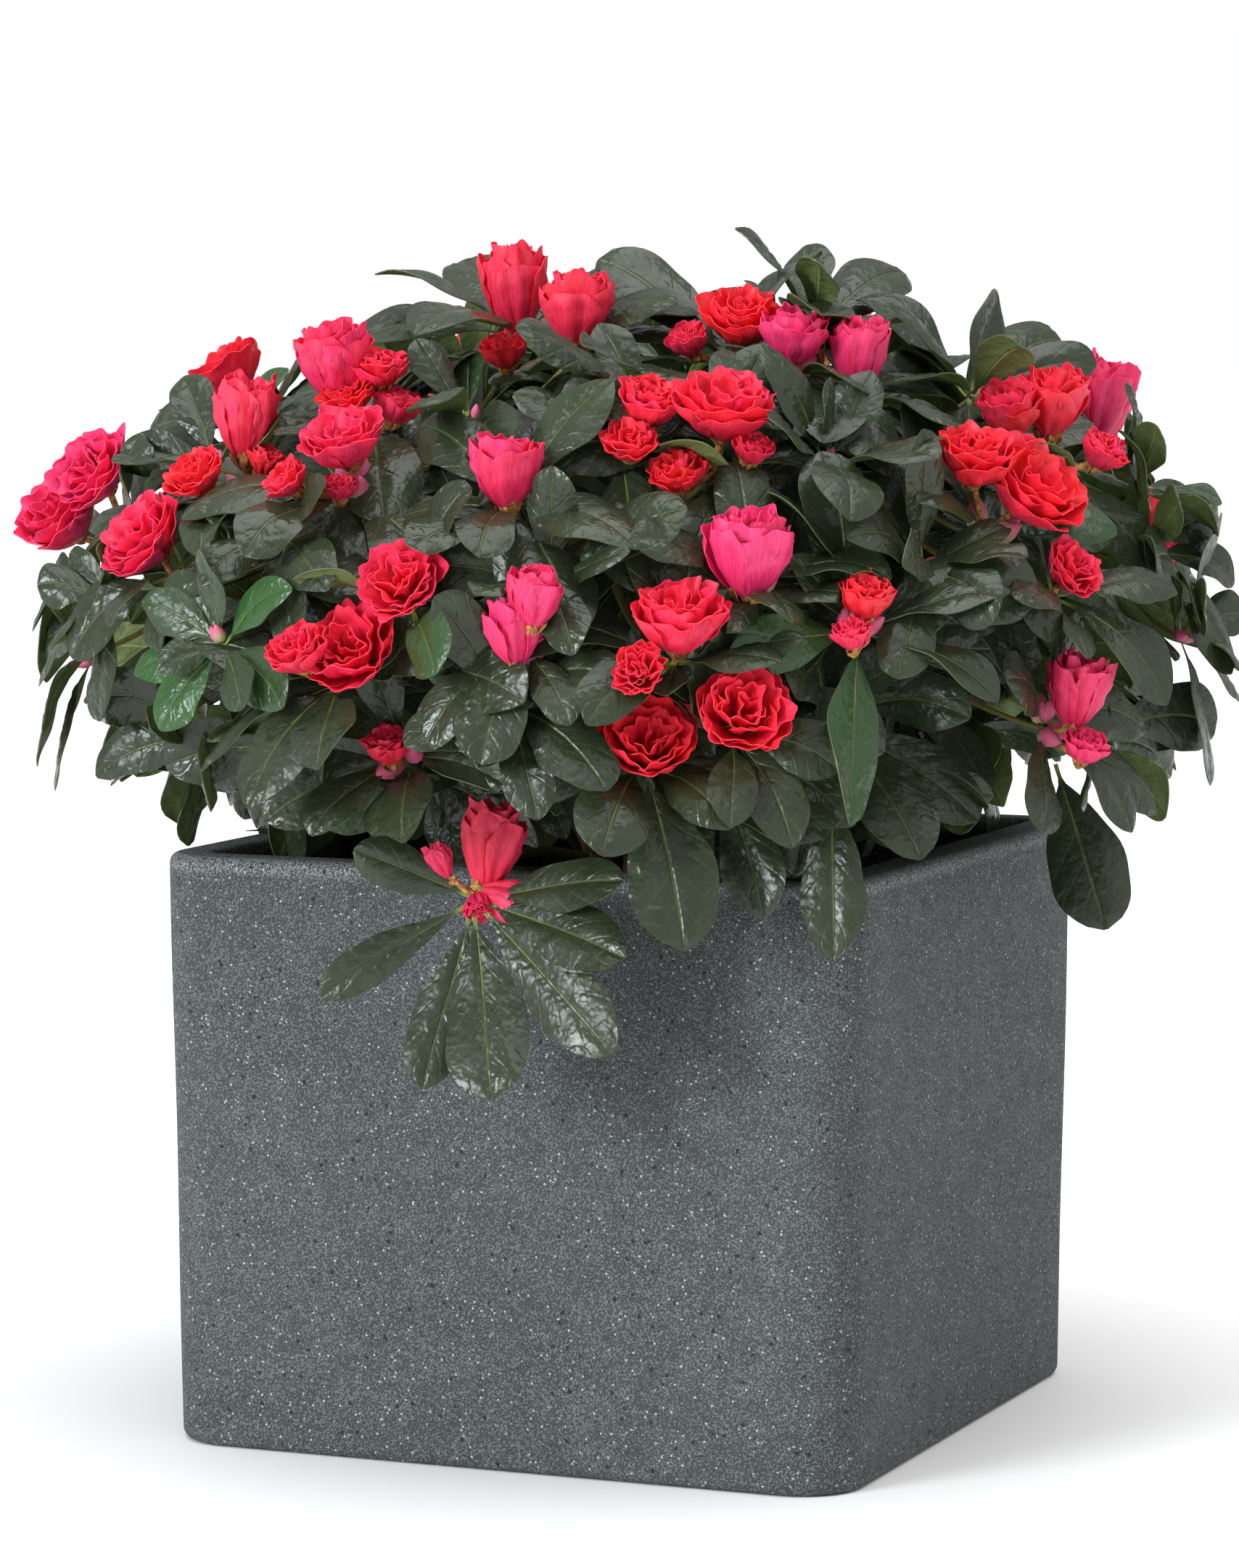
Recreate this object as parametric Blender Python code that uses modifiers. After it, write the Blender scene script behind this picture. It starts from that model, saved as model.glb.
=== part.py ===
"""Square granite-look planter box with a potted double azalea that lifts out of it.

Units are metres and +Z is up. The origin is the centre of the planter's underside. The four
sides face -Y (front), +X, +Y and -X.
"""

import math

import bmesh
import bpy
from mathutils import Vector

OBJECT_NAME = "planter_box"
REST_GAP = 0.0003  # air between two pieces that rest on each other

# Planter shell: a rotation-moulded box whose rim turns in and hangs down as a lip
WIDTH = 0.400
HEIGHT = 0.320
DRAFT = 0.0041  # each side's lean from the rim to the base
CORNER_RADIUS = 0.036
CORNER_STEPS = 7
RIM_WIDTH = 0.027
LIP_DEPTH = 0.045
WALL = 0.005
RIM_ROUND = 0.006
BASE_ROUND = 0.0055

# Drain holes in the floor's corners, each closed by a push-in rubber plug
DRAIN_SPACING = 0.270
DRAIN_RADIUS = 0.007
PLUG_CLEARANCE = 0.0004
PLUG_HEAD_RADIUS = 0.012
PLUG_HEAD_HEIGHT = 0.003
PLUG_KNOB_RADIUS = 0.0045
PLUG_KNOB_HEIGHT = 0.006
PLUG_STEPS = 14

# Round nursery pot that stands on the planter's floor
POT_BASE_RADIUS = 0.102
POT_TOP_RADIUS = 0.133
POT_BAND_RADIUS = 0.140
POT_HEIGHT = 0.262
POT_BAND_HEIGHT = 0.022
POT_WALL = 0.0025
POT_STEPS = 28
POT_HOLES = 4
POT_HOLE_RADIUS = 0.007
POT_HOLE_CIRCLE = 0.072

# Potting mix and the azalea's woody base
SOIL_DEPTH_BELOW_BAND = 0.014
SOIL_CROWN = 0.003
SOIL_GAP = 0.0006
COLLAR_HEIGHT = 0.030
COLLAR_FOOT_RADIUS = 0.030
COLLAR_TOP_RADIUS = 0.022
STEM_RADIUS = 0.0045
STEM_CIRCLE = 0.0145
STEM_POINTS = 6
STEM_REACH = 0.80  # of the way from the crown's centre to its surface
STEM_ANGLES = (-160, -113, -72, -28, 18, 66, 112, 156)
STEM_ELEVATIONS = (28, 42, 24, 40, 26, 42, 28, 44)

# Leaf crown: a mushroom of foliage, hollow and open underneath
CROWN_RADIUS = 0.318
CROWN_WAIST_Z = HEIGHT + 0.115
CROWN_RISE = 0.200
CROWN_DROP = 0.110
CROWN_OPENING = -0.88  # height of the open underside, as a fraction of the drop
CROWN_WALL = 0.005
CROWN_SEGMENTS = 30
CROWN_RINGS = 14
CROWN_LOBES = 9
CROWN_LOBE_DEPTH = 0.03
CROWN_LOBE_TWIST = 5.0

# Flower heads on the crown: azimuth and elevation in degrees, diameter
HEAD_RINGS = 6
HEAD_RUFFLES = 5
HEAD_RUFFLE = 0.12
HEAD_FLARE = 1.60
HEAD_EDGE = 0.7  # heights on a unit sphere: the open edge and, above it, the middle
HEAD_MIDDLE = 0.95
HEAD_MIDDLE_DEPTH = 0.45
HEAD_TAPER = 0.35
HEAD_STRETCH = 1.10
HEAD_LIFT = 0.35
HEAD_CLEARANCE = 1.05
FLOWER_HEADS = (
    (-153, 21, 0.070),
    (-124, 16, 0.050),
    (-120, 32, 0.060),
    (-108, 45, 0.058),
    (-102, 31, 0.052),
    (-99, 68, 0.042),
    (-79, 61, 0.037),
    (-48, 60, 0.044),
    (-42, 53, 0.033),
    (-33, 49, 0.036),
    (-58, 36, 0.052),
    (-69, 38, 0.040),
    (-81, 28, 0.040),
    (-25, 26, 0.068),
    (-7, 37, 0.062),
    (-21, 12, 0.038),
    (-56, 16, 0.047),
    (-46, 8, 0.038),
    (-90, 12, 0.042),
    (-97, 1, 0.049),
    (-78, 6, 0.044),
    (-64, 5, 0.052),
    (-58, -13, 0.046),
    (-67, -22, 0.044),
    (-93, -24, 0.030),
    (-19, -15, 0.046),
    (46, 14, 0.060),
    (38, 34, 0.064),
    (72, 6, 0.060),
    (74, 54, 0.054),
    (100, 24, 0.066),
    (128, 4, 0.058),
    (134, 42, 0.064),
    (160, 14, 0.062),
    (-176, 42, 0.060),
)

# Low sprig that hangs over the front of the rim
SPRIG_HUB = (0.013, -0.217, 0.311)
SPRIG_HUB_RADIUS = 0.010
SPRIG_THICKNESS = 0.004
SPRIG_LEAVES = (
    (-12, 0.075),
    (-32, 0.086),
    (-52, 0.100),
    (-88, 0.100),
    (-110, 0.098),
    (-148, 0.108),
    (-172, 0.078),
)
SPRIG_STEM_RADIUS = 0.003
SPRIG_HEAD = (0.013, -0.243, 0.334)
SPRIG_HEAD_DIAMETER = 0.046

FLOOR_TOP = WALL
POT_BASE_Z = FLOOR_TOP + REST_GAP
POT_TOP_Z = POT_BASE_Z + POT_HEIGHT
SOIL_TOP_Z = POT_TOP_Z - SOIL_DEPTH_BELOW_BAND
COLLAR_BASE_Z = SOIL_TOP_Z + SOIL_CROWN + REST_GAP
COLLAR_TOP_Z = COLLAR_BASE_Z + COLLAR_HEIGHT

MATERIALS = {
    "granite_plastic": ((0.115, 0.130, 0.138), 0.62),
    "plug_rubber": ((0.020, 0.020, 0.021), 0.75),
    "pot_plastic": ((0.022, 0.022, 0.024), 0.45),
    "potting_mix": ((0.055, 0.033, 0.020), 0.95),
    "bark": ((0.150, 0.080, 0.040), 0.80),
    "leaf": ((0.022, 0.060, 0.020), 0.38),
    "petal": ((0.680, 0.020, 0.050), 0.55),
}


def clear_scene():
    for obj in list(bpy.data.objects):
        bpy.data.objects.remove(obj, do_unlink=True)


def new_collection(name):
    collection = bpy.data.collections.new(name)
    bpy.context.scene.collection.children.link(collection)
    return collection


def new_material(name):
    colour, roughness = MATERIALS[name]
    material = bpy.data.materials.new(name)
    material.use_nodes = True
    shader = material.node_tree.nodes["Principled BSDF"]
    shader.inputs["Base Color"].default_value = (*colour, 1.0)
    shader.inputs["Roughness"].default_value = roughness
    shader.inputs["Metallic"].default_value = 0.0
    material.diffuse_color = (*colour, 1.0)
    return material


def mesh_of(bm, name):
    """Turns the bmesh into a mesh with smooth faces and sharp edges."""
    bmesh.ops.recalc_face_normals(bm, faces=bm.faces)
    mesh = bpy.data.meshes.new(name)
    bm.to_mesh(mesh)
    bm.free()
    mesh.shade_smooth()
    mesh.set_sharp_from_angle(angle=math.radians(40))
    return mesh


def place(name, data, collection, material, location=(0, 0, 0)):
    obj = bpy.data.objects.new(name, data)
    if material:
        data.materials.clear()
        data.materials.append(material)
    collection.objects.link(obj)
    obj.location = location
    return obj


def place_cutter(name, mesh, collection, location=(0, 0, 0)):
    obj = place(name, mesh, collection, None, location)
    obj.hide_render = True
    obj.display_type = "WIRE"
    return obj


def cut_with(obj, collection):
    cut = obj.modifiers.new("cut", "BOOLEAN")
    cut.operation = "DIFFERENCE"
    cut.operand_type = "COLLECTION"
    cut.collection = collection
    cut.solver = "EXACT"


def solidify(obj, thickness):
    """Thickens an open surface towards its inner side."""
    wall = obj.modifiers.new("wall", "SOLIDIFY")
    wall.thickness = thickness
    wall.offset = -1.0
    wall.use_even_offset = True


def turned(name, profile, steps, collection, material, location=(0, 0, 0)):
    """Turns a profile, a list of (radius, height) from top to bottom, round the Z axis."""
    mesh = bpy.data.meshes.new(name)
    points = [(radius, 0.0, height) for radius, height in profile]
    edges = [(i, i + 1) for i in range(len(points) - 1)]
    mesh.from_pydata(points, edges, [])
    obj = place(name, mesh, collection, material, location)
    screw = obj.modifiers.new("turn", "SCREW")
    screw.axis = "Z"
    screw.steps = steps
    screw.render_steps = steps
    screw.use_merge_vertices = True
    screw.merge_threshold = 0.00001
    screw.use_smooth_shade = True
    return obj


def tube(name, points, radius, collection, material):
    curve = bpy.data.curves.new(name, "CURVE")
    curve.dimensions = "3D"
    curve.bevel_depth = radius
    curve.bevel_resolution = 2
    curve.use_fill_caps = True
    spline = curve.splines.new("POLY")
    spline.points.add(len(points) - 1)
    for spline_point, point in zip(spline.points, points):
        spline_point.co = (*point, 1.0)
    return place(name, curve, collection, material)


def cylinder_mesh(name, radius, depth):
    bm = bmesh.new()
    bmesh.ops.create_cone(
        bm, cap_ends=True, segments=16, radius1=radius, radius2=radius, depth=depth
    )
    return mesh_of(bm, name)


def on_circle(radius, degrees, height):
    angle = math.radians(degrees)
    return Vector((radius * math.cos(angle), radius * math.sin(angle), height))


# --- planter shell and plugs -----------------------------------------------------------------


def drafted_block():
    """A block with the planter's outer size, its sides leaning in towards the base."""
    bm = bmesh.new()
    bmesh.ops.create_cube(bm, size=1.0)
    for vert in bm.verts:
        at_top = vert.co.z > 0
        half = WIDTH / 2 - (0 if at_top else DRAFT)
        vert.co.x = math.copysign(half, vert.co.x)
        vert.co.y = math.copysign(half, vert.co.y)
        vert.co.z = HEIGHT if at_top else 0.0
    return bm


def round_edges(bm, edges, radius, steps):
    bmesh.ops.bevel(
        bm, geom=edges, offset=radius, segments=steps, profile=0.5, affect="EDGES"
    )


def square_edges(bm, height):
    """The edges at this height where two faces meet at nearly a right angle."""
    return [
        edge
        for edge in bm.edges
        if all(abs(vert.co.z - height) < 1e-6 for vert in edge.verts)
        and edge.calc_face_angle(0.0) > math.radians(60)
    ]


def turn_rim_in(bm):
    """Insets the top face by the rim's width, then hangs the lip from the opening."""
    top = max(bm.faces, key=lambda face: face.calc_center_median().z)
    bmesh.ops.inset_region(bm, faces=[top], thickness=RIM_WIDTH, use_even_offset=True)
    hung = bmesh.ops.extrude_face_region(bm, geom=[top])["geom"]
    corners = [item for item in hung if isinstance(item, bmesh.types.BMVert)]
    lid = [item for item in hung if isinstance(item, bmesh.types.BMFace)]
    bmesh.ops.translate(bm, verts=corners, vec=(0, 0, -LIP_DEPTH))
    bmesh.ops.delete(bm, geom=lid, context="FACES")
    if top.is_valid:
        bmesh.ops.delete(bm, geom=[top], context="FACES")


def make_shell(parts, drains, material):
    bm = drafted_block()
    uprights = [
        edge
        for edge in bm.edges
        if abs(edge.verts[0].co.z - edge.verts[1].co.z) > HEIGHT / 2
    ]
    round_edges(bm, uprights, CORNER_RADIUS, CORNER_STEPS)
    turn_rim_in(bm)
    round_edges(bm, square_edges(bm, HEIGHT), RIM_ROUND, 3)
    round_edges(bm, square_edges(bm, 0.0), BASE_ROUND, 2)
    shell = place("planter_shell", mesh_of(bm, "planter_shell"), parts, material)
    solidify(shell, WALL)
    cut_with(shell, drains)


def drain_centres():
    half = DRAIN_SPACING / 2
    return [(x, y) for x in (-half, half) for y in (-half, half)]


def make_drain_cutters(drains):
    mesh = cylinder_mesh("drain_hole", DRAIN_RADIUS, 4 * WALL)
    for number, (x, y) in enumerate(drain_centres(), 1):
        place_cutter(f"drain_hole_{number}", mesh, drains, (x, y, WALL / 2))


def make_plugs(parts, material):
    """Mushroom plugs: a stem in the hole, a head on the floor and a knob to pull."""
    stem_radius = DRAIN_RADIUS - PLUG_CLEARANCE
    head_base = FLOOR_TOP + REST_GAP
    head_top = head_base + PLUG_HEAD_HEIGHT
    knob_top = head_top + PLUG_KNOB_HEIGHT
    profile = [
        (0.0, knob_top),
        (PLUG_KNOB_RADIUS, knob_top),
        (PLUG_KNOB_RADIUS * 0.75, head_top),
        (PLUG_HEAD_RADIUS - 0.001, head_top),
        (PLUG_HEAD_RADIUS, head_base),
        (stem_radius, head_base),
        (stem_radius, 0.0025),
        (stem_radius - 0.0015, 0.001),
        (0.0, 0.001),
    ]
    for number, (x, y) in enumerate(drain_centres(), 1):
        turned(f"drain_plug_{number}", profile, PLUG_STEPS, parts, material, (x, y, 0))


# --- nursery pot, potting mix and stems ------------------------------------------------------


def pot_radius(height):
    """Outer radius of the pot's tapering side at a height above its base."""
    side = POT_HEIGHT - POT_BAND_HEIGHT
    return POT_BASE_RADIUS + (POT_TOP_RADIUS - POT_BASE_RADIUS) * height / side


def make_pot(parts, holes, material):
    band_base = POT_HEIGHT - POT_BAND_HEIGHT
    profile = [
        (POT_BAND_RADIUS, POT_HEIGHT),
        (POT_BAND_RADIUS - 0.001, band_base),
        (pot_radius(band_base), band_base - 0.002),
        (pot_radius(0.006), 0.006),
        (POT_BASE_RADIUS - 0.005, 0.0),
        (0.0, 0.0),
    ]
    pot = turned("nursery_pot", profile, POT_STEPS, parts, material, (0, 0, POT_BASE_Z))
    solidify(pot, POT_WALL)
    mesh = cylinder_mesh("pot_hole", POT_HOLE_RADIUS, 6 * POT_WALL)
    for number in range(POT_HOLES):
        centre = on_circle(POT_HOLE_CIRCLE, 45 + 360 / POT_HOLES * number, POT_BASE_Z)
        place_cutter(f"pot_hole_{number + 1}", mesh, holes, centre)
    cut_with(pot, holes)


def make_soil(parts, material):
    gap = POT_WALL + SOIL_GAP
    band_base = POT_HEIGHT - POT_BAND_HEIGHT
    top = SOIL_TOP_Z - POT_BASE_Z
    profile = [
        (0.0, top + SOIL_CROWN),
        (0.050, top + SOIL_CROWN),
        (0.105, top),
        (pot_radius(band_base) - gap, top - 0.002),
        (pot_radius(band_base) - gap, band_base - 0.006),
        (pot_radius(0.010) - gap, 0.010),
        (POT_BASE_RADIUS - 0.007 - gap, POT_WALL + SOIL_GAP),
        (0.0, POT_WALL + SOIL_GAP),
    ]
    turned("potting_mix", profile, POT_STEPS, parts, material, (0, 0, POT_BASE_Z))


def make_collar(parts, material):
    profile = [
        (0.0, COLLAR_HEIGHT),
        (COLLAR_TOP_RADIUS, COLLAR_HEIGHT),
        (COLLAR_TOP_RADIUS + 0.001, COLLAR_HEIGHT * 0.5),
        (COLLAR_FOOT_RADIUS, 0.0),
        (0.0, 0.0),
    ]
    turned("root_collar", profile, 12, parts, material, (0, 0, COLLAR_BASE_Z))


def stem_route(azimuth, elevation):
    """Leaves the collar steeply and bends outwards towards the crown."""
    tip = crown_point(azimuth, elevation, STEM_REACH)
    reach = math.hypot(tip.x, tip.y)
    base_z = COLLAR_TOP_Z + STEM_RADIUS
    route = []
    for step in range(STEM_POINTS):
        along = step / (STEM_POINTS - 1)
        radius = STEM_CIRCLE + (reach - STEM_CIRCLE) * along**1.35
        height = base_z + (tip.z - base_z) * along**0.85
        sway = 5.0 * math.sin(math.pi * along)
        route.append(on_circle(radius, azimuth + sway, height))
    return route


def make_stems(parts, material):
    for number, (azimuth, elevation) in enumerate(zip(STEM_ANGLES, STEM_ELEVATIONS), 1):
        route = stem_route(azimuth, elevation)
        tube(f"azalea_stem_{number}", route, STEM_RADIUS, parts, material)


# --- leaf crown and flower heads -------------------------------------------------------------


def crown_point(azimuth, elevation, reach=1.0):
    """A point on the crown's smooth surface, or part of the way out to it."""
    lift = math.sin(math.radians(elevation))
    rise = CROWN_RISE if lift > 0 else CROWN_DROP
    spread = CROWN_RADIUS * math.cos(math.radians(elevation))
    point = on_circle(spread, azimuth, rise * lift) * reach
    return point + Vector((0, 0, CROWN_WAIST_Z))


def lobed(direction):
    """How far the crown's surface swells or dips along a direction from its centre."""
    azimuth = math.atan2(direction.y, direction.x)
    waves = math.sin(CROWN_LOBES * azimuth + CROWN_LOBE_TWIST * direction.z)
    return 1.0 + CROWN_LOBE_DEPTH * waves * (1.0 - direction.z**2)


def make_crown(parts, clearances, material):
    bm = bmesh.new()
    bmesh.ops.create_uvsphere(
        bm, u_segments=CROWN_SEGMENTS, v_segments=CROWN_RINGS, radius=1.0
    )
    below = [face for face in bm.faces if face.calc_center_median().z < CROWN_OPENING]
    bmesh.ops.delete(bm, geom=below, context="FACES")
    for vert in bm.verts:
        swell = lobed(vert.co)
        rise = CROWN_RISE if vert.co.z > 0 else CROWN_DROP
        vert.co.x *= CROWN_RADIUS * swell
        vert.co.y *= CROWN_RADIUS * swell
        vert.co.z *= rise * swell
    mesh = mesh_of(bm, "azalea_foliage")
    crown = place("azalea_foliage", mesh, parts, material, (0, 0, CROWN_WAIST_Z))
    solidify(crown, CROWN_WALL)
    cut_with(crown, clearances)


def head_mesh(name, diameter):
    """A double bloom: narrow at the calyx, with a ruffled edge round a hollow middle."""
    bm = bmesh.new()
    bmesh.ops.create_uvsphere(
        bm, u_segments=2 * HEAD_RUFFLES, v_segments=HEAD_RINGS, radius=1.0
    )
    for vert in bm.verts:
        width = 1.0 + HEAD_TAPER * min(0.0, vert.co.z)
        if vert.co.z > HEAD_MIDDLE:
            vert.co.z = HEAD_MIDDLE_DEPTH
        elif vert.co.z > HEAD_EDGE:
            azimuth = math.atan2(vert.co.y, vert.co.x)
            width *= HEAD_FLARE * (1.0 + HEAD_RUFFLE * math.cos(HEAD_RUFFLES * azimuth))
        vert.co.x *= diameter / 2 * width
        vert.co.y *= diameter / 2 * width
        vert.co.z *= diameter / 2 * HEAD_STRETCH
    return mesh_of(bm, name)


def add_head(name, centre, facing, diameter, parts, clearances, material):
    """A flower head that faces outwards, and the room it needs in the foliage."""
    turn = facing.to_track_quat("Z", "Y").to_euler()
    head = place(name, head_mesh(name, diameter), parts, material, centre)
    head.rotation_euler = turn
    room_name = f"{name}_room"
    room_mesh = head_mesh(room_name, diameter * HEAD_CLEARANCE)
    room = place_cutter(room_name, room_mesh, clearances, centre)
    room.rotation_euler = turn


def make_heads(parts, clearances, material):
    for number, (azimuth, elevation, diameter) in enumerate(FLOWER_HEADS, 1):
        centre = crown_point(azimuth, elevation)
        outwards = on_circle(1.0, azimuth, 0.0) * math.cos(math.radians(elevation))
        outwards.z = math.sin(math.radians(elevation)) + HEAD_LIFT
        name = f"flower_head_{number:02d}"
        add_head(name, centre, outwards, diameter, parts, clearances, material)


# --- sprig over the front rim ----------------------------------------------------------------


def sprig_outline():
    """A fan of leaves as seen from the front, from right to left, closed over the hub."""
    outline = [(SPRIG_HUB_RADIUS, SPRIG_HUB_RADIUS * 0.6)]
    for degrees, length in SPRIG_LEAVES:
        for offset, reach in ((9, 0.72), (0, 1.0), (-9, 0.72)):
            point = on_circle(length * reach, degrees + offset, 0)
            outline.append((point.x, point.y))
        notch = on_circle(length * 0.45, degrees - 13, 0)
        outline.append((notch.x, notch.y))
    outline.append((-SPRIG_HUB_RADIUS, SPRIG_HUB_RADIUS * 0.6))
    return outline


def make_sprig_leaves(parts, material):
    curve = bpy.data.curves.new("hanging_leaves", "CURVE")
    curve.dimensions = "2D"
    curve.fill_mode = "BOTH"
    curve.extrude = SPRIG_THICKNESS / 2
    outline = sprig_outline()
    spline = curve.splines.new("POLY")
    spline.points.add(len(outline) - 1)
    for spline_point, (x, y) in zip(spline.points, outline):
        spline_point.co = (x, y, 0.0, 1.0)
    spline.use_cyclic_u = True
    fan = place("hanging_leaves", curve, parts, material, SPRIG_HUB)
    fan.rotation_euler = (math.radians(90), 0, 0)


def make_sprig(parts, clearances, bark, leaf, petal):
    start = on_circle(COLLAR_TOP_RADIUS + 0.006, -90, COLLAR_TOP_Z + 0.004)
    route = [
        start,
        (0.000, -0.070, 0.312),
        (0.001, -0.130, 0.3235),
        (0.004, -0.180, 0.3255),
        (0.008, -0.203, 0.3255),
        (0.010, -0.2125, 0.3245),
    ]
    tube("hanging_stem", route, SPRIG_STEM_RADIUS, parts, bark)
    make_sprig_leaves(parts, leaf)
    facing = Vector((0.0, -0.8, 1.0))
    add_head(
        "hanging_flower_head",
        SPRIG_HEAD,
        facing,
        SPRIG_HEAD_DIAMETER,
        parts,
        clearances,
        petal,
    )


def main():
    clear_scene()
    parts = new_collection(OBJECT_NAME)
    drains = new_collection("drain_cutters")
    pot_holes = new_collection("pot_hole_cutters")
    clearances = new_collection("flower_cutters")
    materials = {name: new_material(name) for name in MATERIALS}

    make_drain_cutters(drains)
    make_shell(parts, drains, materials["granite_plastic"])
    make_plugs(parts, materials["plug_rubber"])

    make_pot(parts, pot_holes, materials["pot_plastic"])
    make_soil(parts, materials["potting_mix"])
    make_collar(parts, materials["bark"])
    make_stems(parts, materials["bark"])

    make_heads(parts, clearances, materials["petal"])
    make_sprig(
        parts, clearances, materials["bark"], materials["leaf"], materials["petal"]
    )
    make_crown(parts, clearances, materials["leaf"])


main()
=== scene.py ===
from math import asin, atan2, cos, degrees, hypot, pi, radians, sin, sqrt

import bpy
import numpy as np
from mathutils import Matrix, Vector


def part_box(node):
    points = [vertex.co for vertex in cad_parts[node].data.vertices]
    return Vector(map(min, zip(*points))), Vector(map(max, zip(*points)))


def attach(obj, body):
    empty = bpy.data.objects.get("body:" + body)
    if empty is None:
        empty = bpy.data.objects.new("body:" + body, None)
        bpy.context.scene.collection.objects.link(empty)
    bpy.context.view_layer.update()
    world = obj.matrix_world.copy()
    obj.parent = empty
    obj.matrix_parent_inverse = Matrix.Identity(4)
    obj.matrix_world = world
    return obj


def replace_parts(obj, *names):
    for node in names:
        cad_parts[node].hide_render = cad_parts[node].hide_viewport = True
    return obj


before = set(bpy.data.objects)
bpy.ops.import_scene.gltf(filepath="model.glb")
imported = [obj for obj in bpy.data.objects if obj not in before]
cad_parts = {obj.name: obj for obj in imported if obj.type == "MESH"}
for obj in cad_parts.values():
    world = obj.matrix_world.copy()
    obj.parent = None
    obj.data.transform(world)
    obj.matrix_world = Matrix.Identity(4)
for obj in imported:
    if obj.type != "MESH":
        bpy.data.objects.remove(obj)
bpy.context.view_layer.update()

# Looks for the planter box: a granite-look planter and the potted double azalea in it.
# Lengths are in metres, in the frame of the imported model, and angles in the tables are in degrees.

# Planter, repeated from the model
WIDTH = 0.400
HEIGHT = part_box("planter_shell")[1].z
DRAFT = 0.0041
CORNER_RADIUS = 0.036
RIM_WIDTH = 0.027
LIP_DEPTH = 0.045
WALL = 0.005
RIM_ROUND = 0.006
BASE_ROUND = 0.0055
DRAIN_RADIUS = 0.007

# Crown, repeated from the model
CROWN_RADIUS = 0.318
CROWN_WAIST_Z = HEIGHT + 0.115
CROWN_RISE = 0.200
CROWN_DROP = 0.110
HEAD_LIFT = 0.35
STEM_RADIUS = 0.0045
STEM_CIRCLE = 0.0145
STEM_REACH = 0.80
STEM_ANGLES = (-160, -113, -72, -28, 18, 66, 112, 156)
STEM_ELEVATIONS = (28, 42, 24, 40, 26, 42, 28, 44)
COLLAR_TOP_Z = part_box("root_collar")[1].z
SOIL_TOP_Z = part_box("potting_mix")[1].z

# Nursery pot: radius at its foot and under its band, its wall, and its drain holes
POT_FOOT_RADIUS = 0.102
POT_TOP_RADIUS = 0.133
POT_WALL = 0.0025
POT_HOLE_CIRCLE = 0.072
POT_HOLE_RADIUS = 0.007
POT_CLEARANCE_RADIUS = 0.143

# Leaves: those on the crown, and shorter, plainer ones on shoots inside it
LEAF_LENGTH = 0.096
INNER_LEAF_LENGTH = 0.080
OUTER_SHOOTS = 96
INNER_SHOOTS = 44
OUTER_REACH = 0.87
INNER_REACH = 0.64
SHOOT_GAP = 0.060
SIDE_VEINS = 6
# From here outwards leaf tips are drawn in
CROWN_EDGE = 0.312
LEAF_THICKNESS = 0.0006
PETAL_THICKNESS = 0.0004
SCALE_THICKNESS = 0.0003
GOLDEN_ANGLE = pi * (3 - sqrt(5))

# The photograph's view: the camera's place, its turn and its pitch, and the way from the plant to it
CAMERA_PLACE = (1.1277, -2.7532, 0.6107)
CAMERA_AZIMUTH = 22.42
CAMERA_PITCH = 5.04
VIEW_AZIMUTH = radians(CAMERA_AZIMUTH - 90)
SIGHT = np.array((cos(VIEW_AZIMUTH), sin(VIEW_AZIMUTH), 0.09))

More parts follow.
